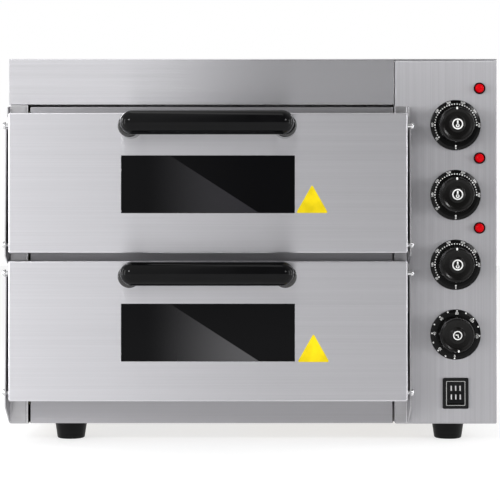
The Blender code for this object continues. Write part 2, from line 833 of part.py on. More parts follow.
def rocker_switch():
    """Frame snapped into the panel, and the rocker that tilts in it about a cross axis."""
    centre = Vector((knob_x(), FRONT, SWITCH_Z))
    bezel = Vector((SWITCH_WIDTH / 2, 0, SWITCH_HEIGHT / 2))
    body = Vector((SWITCH_WIDTH / 2 - 0.0018, 0, SWITCH_HEIGHT / 2 - 0.0018))
    hole = Vector((ROCKER_WIDTH / 2 + 0.0005, 0, ROCKER_HEIGHT / 2 + 0.0012))
    frame = box("switch_frame", centre - bezel - Y * 0.0022, centre + bezel - Y * GAP, BAKELITE)
    add_box(frame, "switch_body", centre - body - Y * GAP * 2, centre + body + Y * 0.022)
    cut_box(frame, "switch_well", centre - hole - Y * 0.01, centre + hole + Y * 0.016)
    pivot = centre + Y * 0.004
    rise = 0.0030
    half = ROCKER_HEIGHT / 2
    side = [(0.0012, half), (-0.0060, half - 0.004), (-0.0060, -half + 0.004), (0.0012, -half)]
    side += [(0.004 + rise, -half), (0.004 + rise * 0.45, 0), (0.004 + rise, half)]
    side_on = Matrix((-Y, Z, -X)).transposed().to_4x4()
    tilt = Matrix.Rotation(-ROCKER_TILT, 4, "X")
    at = Matrix.Translation(pivot) @ tilt @ side_on
    outline(side, ROCKER_WIDTH, at, "rocker", BAKELITE, pivot)


def gland_place():
    return Vector((BODY_RIGHT - 0.055, REAR, 0.080))


def cable_gland():
    """Bored gland in the rear panel, with a nut-like collar and a tapered nose."""
    profile = [
        (0.0075, GLAND_REACH),
        (0.0090, GLAND_REACH - 0.0020),
        (0.0100, 0.0060),
        (0.0125, 0.0055),
        (0.0125, GAP),
        (0.0080, GAP),
        (0.0080, -0.010),
        (0.0048, -0.010),
        (0.0048, GLAND_REACH - 0.0010),
    ]
    turned("cable_gland", profile, gland_place(), Y, BAKELITE, 18, closed=True)


# Feet


def foot_places():
    xs = (("left", BODY_LEFT + FOOT_FROM_LEFT), ("right", BODY_RIGHT - FOOT_FROM_RIGHT))
    ys = (("front", FRONT + FOOT_FROM_FRONT), ("rear", REAR - FOOT_FROM_REAR))
    return [(f"foot_{end}_{side}", x, y) for end, y in ys for side, x in xs]


def feet():
    """Tapered rubber feet, hollowed from below round their screws."""
    height = BOTTOM
    profile = [
        (0.0030, height),
        (FOOT_TOP_RADIUS, height),
        (FOOT_SOLE_RADIUS + 0.0006, 0.0030),
        (FOOT_SOLE_RADIUS - 0.0002, 0.0012),
        (FOOT_SOLE_RADIUS - 0.0020, 0),
        (0.0085, 0),
        (0.0080, 0.011),
        (0.0030, 0.011),
    ]
    for name, x, y in foot_places():
        turned(name, profile, (x, y, 0), Z, RUBBER, 20, closed=True)


def hang_doors():
    """An empty on each door's axis carries everything that swings with the door."""
    for deck in DOOR_BOTTOMS:
        pivot = pivot_of(deck)
        axis = bpy.data.objects.new(f"{deck}_door_axis", None)
        axis.location = pivot
        collection(OBJECT_NAME).objects.link(axis)
        kinds = ("door", "window", "handle", "pivot", "catch")
        starts = tuple(f"{deck}_{kind}_" for kind in kinds)
        for piece in collection(OBJECT_NAME).objects:
            if piece.type == "MESH" and piece.name.startswith(starts):
                piece.parent = axis
                piece.matrix_parent_inverse = Matrix.Translation(-pivot)


def clear():
    for old in list(bpy.data.objects):
        bpy.data.objects.remove(old)


def main():
    clear()
    top_cover()
    side_panels()
    rear_panel()
    base_plate()
    front_frame()
    bay_partition()
    control_panel()
    hinge_cheeks()
    for deck in DOOR_BOTTOMS:
        door_panels(deck)
        door_fasteners(deck)
        handle(deck)
    hang_doors()
    chambers()
    heating_elements()
    insulation()
    dials_and_knobs()
    switchgear()
    lamps()
    rocker_switch()
    cable_gland()
    feet()


main()
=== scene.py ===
"""Looks of the two-deck countertop pizza oven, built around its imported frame.

Metres, +Z up, front towards -Y. Places and sizes come from the frame's nodes. Sheet metal is folded with
real bend radii, round parts are turned, and every surface has a procedural material.
"""

import math

import bmesh
import bpy
from mathutils import Matrix, Vector

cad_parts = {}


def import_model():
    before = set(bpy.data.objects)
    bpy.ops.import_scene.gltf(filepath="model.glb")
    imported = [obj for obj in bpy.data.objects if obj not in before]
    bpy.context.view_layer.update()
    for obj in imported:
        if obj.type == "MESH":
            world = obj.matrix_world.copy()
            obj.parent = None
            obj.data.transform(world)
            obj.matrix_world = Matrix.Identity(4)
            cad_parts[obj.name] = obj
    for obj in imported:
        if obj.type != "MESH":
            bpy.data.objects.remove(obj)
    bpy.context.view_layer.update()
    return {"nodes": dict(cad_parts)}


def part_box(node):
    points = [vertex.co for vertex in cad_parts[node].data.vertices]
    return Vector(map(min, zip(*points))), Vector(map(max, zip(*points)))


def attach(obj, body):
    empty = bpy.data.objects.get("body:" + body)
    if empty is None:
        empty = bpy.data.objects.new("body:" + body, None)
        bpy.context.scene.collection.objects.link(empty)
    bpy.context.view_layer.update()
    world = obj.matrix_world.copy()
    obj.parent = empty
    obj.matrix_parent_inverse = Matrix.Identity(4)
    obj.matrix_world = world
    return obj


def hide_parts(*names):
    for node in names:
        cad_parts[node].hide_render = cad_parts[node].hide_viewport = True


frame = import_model()

# Sheet metal
SHEET = 0.0010
DOOR_SHEET = 0.0012
CHEEK_SHEET = 0.0015
GAP = 0.0003
SEAM = 0.0011
BEND = 0.0018
DOOR_BEND = 0.0019
CHEEK_BEND = 0.0016
FRAME_BEND = 0.0013
FRAME_TOP_CLEARANCE = 0.0012
FRAME_RIGHT_CLEARANCE = 0.0009
BEND_STEPS = 5
EDGE = 0.00022

# Radii of holes
SHAFT_HOLE = 0.0050
LAMP_HOLE = 0.0051
PIN_HOLE = 0.00345

# The window hole lies this far inside the glass
WINDOW_MARGIN = 0.010

# Prints stand this much proud of what they lie on
PRINT = 0.00009

X = Vector((1, 0, 0))
Y = Vector((0, 1, 0))
Z = Vector((0, 0, 1))
FORWARD = -Y
at = Matrix.Translation
FRONT_ON = Matrix((X, Z, FORWARD)).transposed().to_4x4()
SIDE_ON = Matrix((-Y, Z, -X)).transposed().to_4x4()

DECKS = ("upper", "lower")
THERMOSTATS = ("top_thermostat", "middle_thermostat", "bottom_thermostat")
CONTROLS = (*THERMOSTATS, "timer")
POSITIONS = ("top", "middle", "bottom")

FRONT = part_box("control_panel")[0].y


# Materials


class Tree:
    """A node tree, with short calls to add and join nodes."""

    def __init__(self, tree):
        self.tree = tree

    def add(self, kind, **values):
        node = self.tree.nodes.new(kind)
        for key, value in values.items():
            setattr(node, key, value)
        return node

    def join(self, source, target):
        self.tree.links.new(source, target)

    def math(self, operation, *values):
        """A Math node on numbers and sockets."""
        node = self.add("ShaderNodeMath", operation=operation)
        for socket, value in zip(node.inputs, values):
            if isinstance(value, (int, float)):
                socket.default_value = value
            else:
                self.join(value, socket)
        return node.outputs[0]

    def between(self, value, low, high, from_value, to_value, interpolation="LINEAR"):
        """The value's way from low to high, mapped to two other values."""
        node = self.add("ShaderNodeMapRange", interpolation_type=interpolation)
        self.join(value, node.inputs["Value"])
        settings = {"From Min": low, "From Max": high, "To Min": from_value, "To Max": to_value}
        for key, setting in settings.items():
            node.inputs[key].default_value = setting
        return node.outputs["Result"]


class Nodes(Tree):
    """A material's node tree, joined to its Principled shader."""

    def __init__(self, name):
        self.material = bpy.data.materials.new(name)
        self.material.use_nodes = True
        super().__init__(self.material.node_tree)
        self.shader = self.tree.nodes["Principled BSDF"]

    def set(self, **values):
        for key, value in values.items():
            self.shader.inputs[key.replace("_", " ")].default_value = value

    def place(self, scale):
        """Object coordinates, stretched."""
        where = self.add("ShaderNodeTexCoord")
        mapping = self.add("ShaderNodeMapping")
        mapping.inputs["Scale"].default_value = scale
        self.join(where.outputs["Object"], mapping.inputs["Vector"])
        return mapping.outputs["Vector"]

    def noise(self, scale, detail=3.0, roughness=0.5):
        texture = self.add("ShaderNodeTexNoise")
        texture.inputs["Scale"].default_value = 1.0
        texture.inputs["Detail"].default_value = detail
        texture.inputs["Roughness"].default_value = roughness
        self.join(self.place(scale), texture.inputs["Vector"])
        return texture.outputs["Fac"]

    def ramp(self, source, stops):
        """A colour ramp through (place, colour or grey) stops."""
        ramp = self.add("ShaderNodeValToRGB")
        elements = ramp.color_ramp.elements
        while len(elements) < len(stops):
            elements.new(0.5)
        for element, (place, colour) in zip(elements, stops):
            element.position = place
            grey = isinstance(colour, (int, float))
            element.color = (colour, colour, colour, 1) if grey else (*colour, 1)
        self.join(source, ramp.inputs["Fac"])
        return ramp.outputs["Color"]

    def colour(self, source, stops):
        """The shader's colour, from a ramp."""
        self.join(self.ramp(source, stops), self.shader.inputs["Base Color"])

    def gloss(self, source, low, high):
        """The shader's roughness, from noise that mostly lies between 0.3 and 0.7."""
        self.join(self.between(source, 0.3, 0.7, low, high), self.shader.inputs["Roughness"])

    def bump(self, source, height, strength=1.0):
        """Bump with this height in metres."""
        bump = self.add("ShaderNodeBump")
        bump.inputs["Distance"].default_value = height
        bump.inputs["Strength"].default_value = strength
        self.join(source, bump.inputs["Height"])
        self.join(bump.outputs["Normal"], self.shader.inputs["Normal"])


FINE = 1400.0
COARSE = 260.0
ALONG = 2.5


def brushed(name, grain, tangent_axis, turn, colour, roughness, anisotropy, contrast=0.04):
    """Brushed steel. grain is the direction of the scratches, and highlights spread across it."""
    nodes = Nodes(name)
    nodes.set(Metallic=1.0, Anisotropic=anisotropy, Anisotropic_Rotation=turn)
    fine_scale = [ALONG if axis in grain else FINE for axis in "XYZ"]
    coarse_scale = [ALONG if axis in grain else COARSE for axis in "XYZ"]
    fine = nodes.noise(fine_scale, detail=2.0, roughness=0.7)
    coarse = nodes.noise(coarse_scale, detail=4.0, roughness=0.65)
    streaks = nodes.math("MULTIPLY", nodes.math("ADD", fine, coarse), 0.5)
    dark = tuple(value * (1 - contrast) for value in colour)
    light = tuple(value * (1 + contrast) for value in colour)
    nodes.colour(streaks, ((0.36, dark), (0.64, light)))
    nodes.gloss(streaks, roughness + 0.015, roughness - 0.015)
    tangent = nodes.add("ShaderNodeTangent", direction_type="RADIAL", axis=tangent_axis)
    nodes.join(tangent.outputs["Tangent"], nodes.shader.inputs["Tangent"])
    return nodes.material


def plastic(name, colour, roughness, grain, height, gloss=0.3, spread=0.04):
    """Moulded plastic: a fine grain in the surface and a little wear in its gloss."""
    nodes = Nodes(name)
    nodes.set(Specular_IOR_Level=gloss)
    fine = nodes.noise((grain, grain, grain), detail=2.0)
    cloudy = nodes.noise((45, 45, 45), detail=4.0)
    dark = tuple(value * 0.8 for value in colour)
    light = tuple(min(1.0, value * 1.2) for value in colour)
    nodes.colour(cloudy, ((0.3, dark), (0.7, light)))
    nodes.gloss(cloudy, roughness - spread, roughness + spread)
    nodes.bump(fine, height, 0.5)
    return nodes.material


def make_steels():
    door = (0.665, 0.660, 0.690)
    fascia = (0.705, 0.700, 0.730)
    return {
        "door": brushed("brushed_steel_door", "XY", "Z", 0.25, door, 0.34, 0.95),
        "fascia": brushed("brushed_steel_fascia", "XY", "Z", 0.25, fascia, 0.23, 1.0),
        "roof": brushed("brushed_steel_roof", "X", "Y", 0.25, door, 0.33, 0.85),
        "panel": brushed("brushed_steel_panel", "Z", "Z", 0.0, (0.585, 0.58, 0.605), 0.50, 1.0, 0.07),
        "side": brushed("brushed_steel_side", "XY", "Z", 0.25, (0.60, 0.60, 0.61), 0.36, 0.85),
        # The frame and cheek steels are the same brushed steel made darker: painted shade of the doors
        # that stand in front of them.
        "frame": brushed("brushed_steel_frame_painted_shade", "XY", "Z", 0.25, (0.44, 0.435, 0.455), 0.40, 0.85),
        "cheek": brushed("brushed_steel_cheek_painted_shade", "XY", "Z", 0.25, (0.47, 0.465, 0.48), 0.36, 0.85),
        "rear": brushed("brushed_steel_rear", "X", "Z", 0.25, (0.60, 0.60, 0.61), 0.38, 0.85),
    }


def make_hardware_steel(name, colour, roughness):
    """Turned or pressed steel with fine tool marks."""
    nodes = Nodes(name)
    nodes.set(Metallic=1.0)
    marks = nodes.noise((900, 900, 900), detail=3.0)
    patches = nodes.noise((70, 70, 70), detail=3.0)
    dark = tuple(value * 0.88 for value in colour)
    nodes.colour(patches, ((0.35, dark), (0.65, colour)))
    nodes.gloss(marks, roughness - 0.03, roughness + 0.03)
    nodes.bump(marks, 0.00001, 0.4)
    return nodes.material


def make_inner_steel():
    """Chamber and liner sheet: dull, slightly mottled, with a straw tint where it has been hot."""
    nodes = Nodes("inner_steel_sheet")
    nodes.set(Metallic=1.0)
    heat = nodes.noise((9, 9, 14), detail=5.0, roughness=0.6)
    tints = ((0.30, (0.50, 0.50, 0.50)), (0.55, (0.52, 0.49, 0.44)), (0.75, (0.44, 0.38, 0.30)))
    nodes.colour(heat, tints)
    mill = nodes.noise((12, 700, 700), detail=3.0)
    nodes.gloss(mill, 0.36, 0.50)
    nodes.bump(mill, 0.00002, 0.5)
    return nodes.material


# Where the painted reflection lies on each window pane: below a diagonal, fading out to the left.
PAINTED_SHEEN_LEAN = 0.61
PAINTED_SHEEN_EDGE = 0.839
PAINTED_SHEEN_BLUR = 0.003
PAINTED_SHEEN_FADE = (0.16, 0.78)


def make_glass():
    """Dark tempered pane with a painted reflection: one corner is lighter and glossier, thinning out to
    the left.
    """
    nodes = Nodes("dark_oven_glass")
    nodes.set(IOR=1.5)
    wipes = nodes.noise((14, 14, 60), detail=4.0)
    nodes.gloss(wipes, 0.010, 0.022)
    where = nodes.add("ShaderNodeTexCoord")
    split = nodes.add("ShaderNodeSeparateXYZ")
    nodes.join(where.outputs["Generated"], split.inputs[0])
    across = split.outputs["X"]
    diagonal = nodes.math("MULTIPLY_ADD", split.outputs["Z"], PAINTED_SHEEN_LEAN, across)
    corner = nodes.between(diagonal, PAINTED_SHEEN_EDGE + PAINTED_SHEEN_BLUR, PAINTED_SHEEN_EDGE - PAINTED_SHEEN_BLUR, 0.0, 1.0)
    fade = nodes.between(across, *PAINTED_SHEEN_FADE, 0.0, 1.0, "SMOOTHSTEP")
    # Painted reflection: this mask raises the pane's gloss and lightens its colour in the corner.
    painted_sheen = nodes.math("MULTIPLY", corner, fade)
    nodes.join(nodes.between(painted_sheen, 0.0, 1.0, 0.06, 0.95), nodes.shader.inputs["Specular IOR Level"])
    sheen_tones = ((0.0, (0.0035, 0.0035, 0.0040)), (1.0, (0.017, 0.016, 0.020)))
    nodes.colour(painted_sheen, sheen_tones)
    return nodes.material


def make_red_lens():
    """Clear red plastic with moulded facets behind it; a faint inner light keeps it saturated."""
    nodes = Nodes("red_lamp_lens")
    nodes.set(Roughness=0.22, Specular_IOR_Level=0.06, Emission_Strength=0.10)
    facets = nodes.add("ShaderNodeTexVoronoi")
    facets.inputs["Scale"].default_value = 1.0
    nodes.join(nodes.place((700, 700, 700)), facets.inputs["Vector"])
    reds = ((0.0, (0.62, 0.0010, 0.0045)), (1.0, (0.46, 0.0008, 0.0035)))
    colour = nodes.ramp(facets.outputs["Distance"], reds)
    nodes.join(colour, nodes.shader.inputs["Base Color"])
    nodes.join(colour, nodes.shader.inputs["Emission Color"])
    nodes.bump(facets.outputs["Distance"], 0.00008, 0.4)
    return nodes.material


def make_stone():
    """Cordierite: beige with darker and lighter grains and open pores."""
    nodes = Nodes("cordierite_stone")
    grains = nodes.noise((900, 900, 900), detail=4.0, roughness=0.7)
    baked = nodes.noise((11, 11, 11), detail=5.0)
    mixed = nodes.math("MULTIPLY_ADD", grains, 0.5, nodes.math("MULTIPLY", baked, 0.5))
    tones = ((0.36, (0.33, 0.26, 0.19)), (0.50, (0.55, 0.47, 0.37)), (0.62, (0.70, 0.64, 0.53)))
    nodes.colour(mixed, tones)
    nodes.gloss(grains, 0.84, 0.97)
    nodes.bump(grains, 0.0002, 0.7)
    return nodes.material


def make_wool():
    """Mineral wool: matted fibres in layers."""
    nodes = Nodes("mineral_wool_fibres")
    fibres = nodes.noise((160, 160, 700), detail=6.0, roughness=0.7)
    tones = ((0.35, (0.42, 0.39, 0.25)), (0.65, (0.78, 0.75, 0.58)))
    nodes.colour(fibres, tones)
    nodes.gloss(fibres, 0.9, 1.0)
    nodes.bump(fibres, 0.0012, 0.9)
    return nodes.material


def make_element_sheath():
    """Heat-darkened tube of the heating elements."""
    nodes = Nodes("element_sheath_scaled")
    nodes.set(Metallic=0.8)
    scale = nodes.noise((320, 320, 320), detail=5.0, roughness=0.6)
    tones = ((0.35, (0.055, 0.048, 0.045)), (0.6, (0.13, 0.10, 0.085)), (0.75, (0.22, 0.15, 0.10)))
    nodes.colour(scale, tones)
    nodes.gloss(scale, 0.5, 0.7)
    nodes.bump(scale, 0.00008, 0.5)
    return nodes.material


STEEL = make_steels()
SCREW_STEEL = make_hardware_steel("screw_steel", (0.74, 0.74, 0.75), 0.20)
POST_BLACK = plastic("post_black_gloss", (0.0035, 0.0035, 0.0040), 0.10, 900, 0.000004, 0.8, 0.02)
TRIM = make_hardware_steel("switch_trim", (0.55, 0.55, 0.54), 0.25)
GEAR_STEEL = make_hardware_steel("switchgear_steel", (0.45, 0.45, 0.44), 0.42)
INNER = make_inner_steel()
BAKELITE = plastic("bakelite_gloss", (0.0026, 0.0026, 0.0030), 0.10, 900, 0.000003, 0.14, 0.02)
CAP_PLASTIC = plastic("cap_bakelite", (0.0036, 0.0033, 0.0031), 0.22, 1600, 0.000006, 0.20)
DIAL_PLASTIC = plastic("dial_plastic", (0.0016, 0.0016, 0.0018), 0.24, 1600, 0.000006, 0.16)
SWITCH_PLASTIC = plastic("switch_plastic_black", (0.0060, 0.0060, 0.0065), 0.32, 1500, 0.00002, 0.15)
RUBBER = plastic("foot_rubber", (0.0040, 0.0040, 0.0043), 0.42, 1300, 0.00003, 0.12)
BEZEL_PLASTIC = plastic("lamp_bezel", (0.014, 0.001, 0.0015), 0.50, 1200, 0.00001, 0.02)
WHITE_PRINT = plastic("white_print", (0.83, 0.83, 0.82), 0.45, 2500, 0.000004)
# The rocker ribs' light grey is a painted highlight.
RIB_HIGHLIGHT_GREY = plastic("rib_painted_highlight", (0.62, 0.61, 0.62), 0.40, 2500, 0.000004)
YELLOW_FILM = plastic("yellow_film", (0.78, 0.60, 0.006), 0.35, 1800, 0.000004, 0.12)
GLASS = make_glass()
RED_LENS = make_red_lens()
STONE = make_stone()
WOOL = make_wool()
SHEATH = make_element_sheath()


# Shape helpers


def fillet(points, radius, steps=BEND_STEPS):
    """An open 2D path with its inner corners rounded. radius is one number, or one for each corner."""
    points = [Vector(point) for point in points]
    radii = [radius] * (len(points) - 2) if isinstance(radius, (int, float)) else list(radius)
    path = [points[0]]
    for before, corner, after, want in zip(points, points[1:], points[2:], radii):
        back = before - corner
        onward = after - corner
        angle = back.angle(onward, math.pi)
        if want <= 0 or math.pi - angle < 0.02:
            path.append(corner)
            continue
        reach = min(want / math.tan(angle / 2), back.length * 0.49, onward.length * 0.49)
        start = corner + back.normalized() * reach
        end = corner + onward.normalized() * reach
        real = reach * math.tan(angle / 2)
        bisector = (back.normalized() + onward.normalized()).normalized()
        hub = corner + bisector * (real / math.sin(angle / 2))
        for step in range(steps + 1):
            share = step / steps
            turn = math.pi - angle
            weight_a = math.sin((1 - share) * turn)
            weight_b = math.sin(share * turn)
            ray = ((start - hub) * weight_a + (end - hub) * weight_b) / math.sin(turn)
            path.append(hub + ray)
    path.append(points[-1])
    return path


def box_mesh(low, high):
    low = Vector(low)
    high = Vector(high)
    bm = bmesh.new()
    matrix = at((low + high) / 2) @ Matrix.Diagonal((*(high - low), 1))
    bmesh.ops.create_cube(bm, size=1, matrix=matrix)
    return bm


def facing(direction):
    """The rotation that turns local +Z to this direction."""
    return Vector(direction).to_track_quat("Z", "Y").to_matrix().to_4x4()


def rod_mesh(centre, direction, radius, length, steps=24):
    bm = bmesh.new()
    matrix = at(centre) @ facing(direction)
    bmesh.ops.create_cone(
        bm, cap_ends=True, segments=steps, radius1=radius, radius2=radius, depth=length, matrix=matrix
    )
    return bm


def prism_mesh(outline, depth, matrix):
    """A closed outline in local XY, extruded from local Z 0 to depth."""
    bm = bmesh.new()
    face = bm.faces.new([bm.verts.new((u, v, 0)) for u, v in outline])
    made = bmesh.ops.extrude_face_region(bm, geom=[face])
    moved = [item for item in made["geom"] if isinstance(item, bmesh.types.BMVert)]
    bmesh.ops.translate(bm, verts=moved, vec=(0, 0, depth))
    bmesh.ops.recalc_face_normals(bm, faces=bm.faces)
    bmesh.ops.transform(bm, matrix=matrix, verts=bm.verts)
    if matrix.determinant() < 0:
        bmesh.ops.reverse_faces(bm, faces=bm.faces)
    return bm


def turned_mesh(profile, matrix, steps=64, closed=False):
    """A profile of (radius, height) turned about local Z."""
    bm = bmesh.new()
    row = [bm.verts.new((radius, 0, height)) for radius, height in profile]
    pairs = list(zip(row, row[1:] + row[:1])) if closed else list(zip(row, row[1:]))
    edges = [bm.edges.new(pair) for pair in pairs]
    bmesh.ops.spin(
        bm, geom=row + edges, cent=(0, 0, 0), axis=(0, 0, 1), angle=math.tau, steps=steps, use_merge=True
    )
    bmesh.ops.remove_doubles(bm, verts=bm.verts, dist=0.000002)
    bmesh.ops.recalc_face_normals(bm, faces=bm.faces)
    bmesh.ops.transform(bm, matrix=matrix, verts=bm.verts)
    return bm


def folded_mesh(low, high, open_side, radius):
    """A box without its open side, its outer bends rounded."""
    bm = box_mesh(low, high)
    lid = [face for face in bm.faces if face.normal.dot(open_side) > 0.9]
    bmesh.ops.delete(bm, geom=lid, context="FACES")
    bends = [edge for edge in bm.edges if len(edge.link_faces) == 2]
    bmesh.ops.bevel(bm, geom=bends, offset=radius, segments=BEND_STEPS, affect="EDGES", profile=0.5)
    return bm


def joined(meshes):
    """Several bmeshes as one."""
    bm = bmesh.new()
    for part in meshes:
        copy = bpy.data.meshes.new("part")
        part.to_mesh(copy)
        part.free()
        bm.from_mesh(copy)
        bpy.data.meshes.remove(copy)
    return bm


def to_object(name, bm, material=None):
    mesh = bpy.data.meshes.new(name)
    bm.to_mesh(mesh)
    bm.free()
    if material:
        mesh.materials.append(material)
    made = bpy.data.objects.new(name, mesh)
    bpy.context.scene.collection.objects.link(made)
    return made


def bake(piece):
    """The modifiers' result becomes the mesh."""
    bpy.context.view_layer.update()
    evaluated = piece.evaluated_get(bpy.context.evaluated_depsgraph_get())
    mesh = bpy.data.meshes.new_from_object(evaluated)
    piece.modifiers.clear()
    piece.data = mesh


def thicken(piece, sheet):
    """The sheet's thickness, inwards from the outer surface."""
    solidify = piece.modifiers.new("sheet", "SOLIDIFY")
    solidify.thickness = sheet
    solidify.offset = -1
    solidify.use_even_offset = True
    bake(piece)


def combine(piece, tool_mesh, operation="DIFFERENCE"):
    """A Boolean with a throwaway tool."""
    tool = to_object("tool", tool_mesh)
    step = piece.modifiers.new("cut", "BOOLEAN")
    step.operation = operation
    step.object = tool
    step.solver = "EXACT"
    bake(piece)
    bpy.data.objects.remove(tool)


def cut_through(piece, low, high, face):
    """An upright rectangular hole through a front sheet whose face is at this Y."""
    combine(piece, box_mesh((low.x, face - 0.01, low.z), (high.x, face + 0.01, high.z)))


def ease(piece, width=EDGE, steps=2, angle=40):
    """Small rounds on the sharp edges."""
    bevel = piece.modifiers.new("edges", "BEVEL")
    bevel.width = width
    bevel.segments = steps
    bevel.limit_method = "ANGLE"
    bevel.angle_limit = math.radians(angle)
    bevel.use_clamp_overlap = True
    bake(piece)


def shade(piece, angle=38):
    """Smooth round surfaces, crisp edges and flat faces that stay flat."""
    piece.data.shade_smooth()
    piece.data.set_sharp_from_angle(angle=math.radians(angle))
    normals = piece.modifiers.new("normals", "WEIGHTED_NORMAL")
    normals.keep_sharp = True
    normals.weight = 100
    bake(piece)


def settle(piece, body, replaced=()):
    """The piece rides on its body and the nodes it stands for."""
    shade(piece)
    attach(piece, body)
    if replaced:
        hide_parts(*replaced)
    return piece


def middle(node):
    low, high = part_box(node)
    return (low + high) / 2


# Casing


def top_cover():
    """Roof whose front folds down as the fascia over the doors' bay, with a lip turned in below."""
    low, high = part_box("top_cover")
    fascia_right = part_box("control_panel")[0].x - SEAM
    lip = 0.008
    corners = ((high.y, high.z), (low.y, high.z), (low.y, low.z), (low.y + lip, low.z))
    rows = fillet(corners, (BEND, SHEET * 1.2))
    columns = (low.x, fascia_right, high.x)
    bm = bmesh.new()
    grid = [[bm.verts.new((x, *row)) for x in columns] for row in rows]
    for index, (above, below) in enumerate(zip(grid, grid[1:])):
        bm.faces.new((above[0], below[0], below[1], above[1]))
        if index == 0:
            bm.faces.new((above[1], below[1], below[2], above[2]))
    bmesh.ops.delete(bm, geom=[vert for vert in bm.verts if not vert.link_faces], context="VERTS")
    bmesh.ops.recalc_face_normals(bm, faces=bm.faces)
    if bm.faces[0].normal.z < 0:
        bmesh.ops.reverse_faces(bm, faces=bm.faces)
    cover = to_object("top_cover_sheet", bm, STEEL["fascia"])
    cover.data.materials.append(STEEL["roof"])
    thicken(cover, SHEET)
    ease(cover)
    for face in cover.data.polygons:
        face.material_index = 1 if abs(face.normal.z) > 0.8 and face.center.z > high.z - 0.004 else 0
    settle(cover, "casing", ["top_cover"])


def tray(name, node, open_side, material, radius=BEND, sheet=SHEET):
    """A folded tray on a node's outer box."""
    low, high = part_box(node)
    piece = to_object(name, folded_mesh(low, high, open_side, radius), material)
    thicken(piece, sheet)
    return piece


SLOT_LENGTH = 0.050
SLOT_WIDTH = 0.004
SLOT_PITCH = 0.018
SIDE_COLUMNS = (-0.060, 0.035, 0.130)
SIDE_ROWS = 9
SIDE_LOWEST = 0.150
REAR_ROWS = 10
REAR_LOWEST = 0.200
REAR_FROM_RIGHT = 0.030
LOUVRE_SHEET = 0.0006


def side_slots():
    """The lower middle of each vent slot in the right side panel, as (y, z)."""
    return [(y, SIDE_LOWEST + row * SLOT_PITCH) for y in SIDE_COLUMNS for row in range(SIDE_ROWS)]


def left_side_panel():
    left = tray("left_side_sheet", "left_side_panel", X, STEEL["side"])
    cover_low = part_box("top_cover")[0]
    notch_low = (cover_low.x - 0.01, cover_low.y - 0.01, cover_low.z - GAP)
    notch_high = (cover_low.x + 0.03, cover_low.y + 0.008 + GAP, cover_low.z + 0.10)
    combine(left, box_mesh(notch_low, notch_high))
    ease(left)
    settle(left, "casing", ["left_side_panel"])


def right_side_panel():
    right = tray("right_side_sheet", "right_side_panel", -X, STEEL["side"])
    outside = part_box("right_side_panel")[1].x
    corner = Vector((0.005, SLOT_LENGTH / 2, 0))
    slots = []
    for y, z in side_slots():
        place = Vector((outside, y, z))
        slots.append(box_mesh(place - corner, place + corner + Z * SLOT_WIDTH))
    combine(right, joined(slots))
    ease(right)
    settle(right, "casing", ["right_side_panel"])
    hoods = [louvre_mesh(Vector((outside, y, z)), X, Y) for y, z in side_slots()]
    add_louvres("right_side_louvres", hoods, "side")


def add_louvres(name, hoods, steel):
    louvres = to_object(name, joined(hoods), STEEL[steel])
    thicken(louvres, LOUVRE_SHEET)
    settle(louvres, "casing")


def louvre_mesh(slot, outward, along):
    """A pressed hood over one vent slot: flush above, standing out over the opening, its ends drawn in."""
    reach = 0.0030
    rise = 0.0065
    drop = 0.0004
    long_steps = 16
    high_steps = 6
    bm = bmesh.new()
    grid = []
    for high_step in range(high_steps + 1):
        down = high_step / high_steps
        row = []
        for long_step in range(long_steps + 1):
            across = 2 * long_step / long_steps - 1
            swell = math.sqrt(max(0.0, 1 - across**4)) * math.sin(down * math.pi / 2)
            height = SLOT_WIDTH + rise * (1 - down) - drop * down
            point = slot + along * (across * (SLOT_LENGTH / 2 + 0.0015)) + Z * height
            row.append(bm.verts.new(point + outward * (reach * swell - 0.0002)))
        grid.append(row)
    for above, below in zip(grid, grid[1:]):
        for step in range(long_steps):
            bm.faces.new((above[step], below[step], below[step + 1], above[step + 1]))
    bmesh.ops.recalc_face_normals(bm, faces=bm.faces)
    if sum((face.normal for face in bm.faces), Vector()).dot(outward) < 0:
        bmesh.ops.reverse_faces(bm, faces=bm.faces)
    return bm


def rear_louvres():
    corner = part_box("rear_panel")[1]
    centre_x = corner.x - REAR_FROM_RIGHT - SLOT_LENGTH / 2
    heights = [REAR_LOWEST + row * SLOT_PITCH for row in range(REAR_ROWS)]
    hoods = [louvre_mesh(Vector((centre_x, corner.y, height)), Y, X) for height in heights]
    add_louvres("rear_louvres", hoods, "rear")


def front_frame():
    """The recessed front behind the doors, pierced for both mouths, a little clear of its neighbours."""
    low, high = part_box("front_frame")
    high.z -= FRAME_TOP_CLEARANCE
    high.x -= FRAME_RIGHT_CLEARANCE
    low.x += GAP
    # Its darker steel is painted shade of the doors.
    piece = to_object("front_frame_sheet", folded_mesh(low, high, Y, FRAME_BEND), STEEL["frame"])
    thicken(piece, SHEET)
    for deck in DECKS:
        low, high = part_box(f"{deck}_chamber")
        grow = Vector((GAP, 0, GAP))
        cut_through(piece, low - grow, high + grow, FRONT)
    ease(piece)
    settle(piece, "casing", ["front_frame"])


def control_panel():
    panel = tray("control_panel_sheet", "control_panel", Y, STEEL["panel"])
    for name in CONTROLS:
        place = middle(f"{name}_dial")
        combine(panel, rod_mesh((place.x, FRONT, place.z), Y, SHAFT_HOLE, 0.010))
    for position in POSITIONS:
        place = middle(f"{position}_heating_lamp")
        combine(panel, rod_mesh((place.x, FRONT, place.z), Y, LAMP_HOLE, 0.010))
    low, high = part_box("switch_frame")
    inset = Vector((0.0015, 0, 0.0015))
    cut_through(panel, low + inset, high - inset, FRONT)
    ease(panel)
    settle(panel, "casing", ["control_panel"])


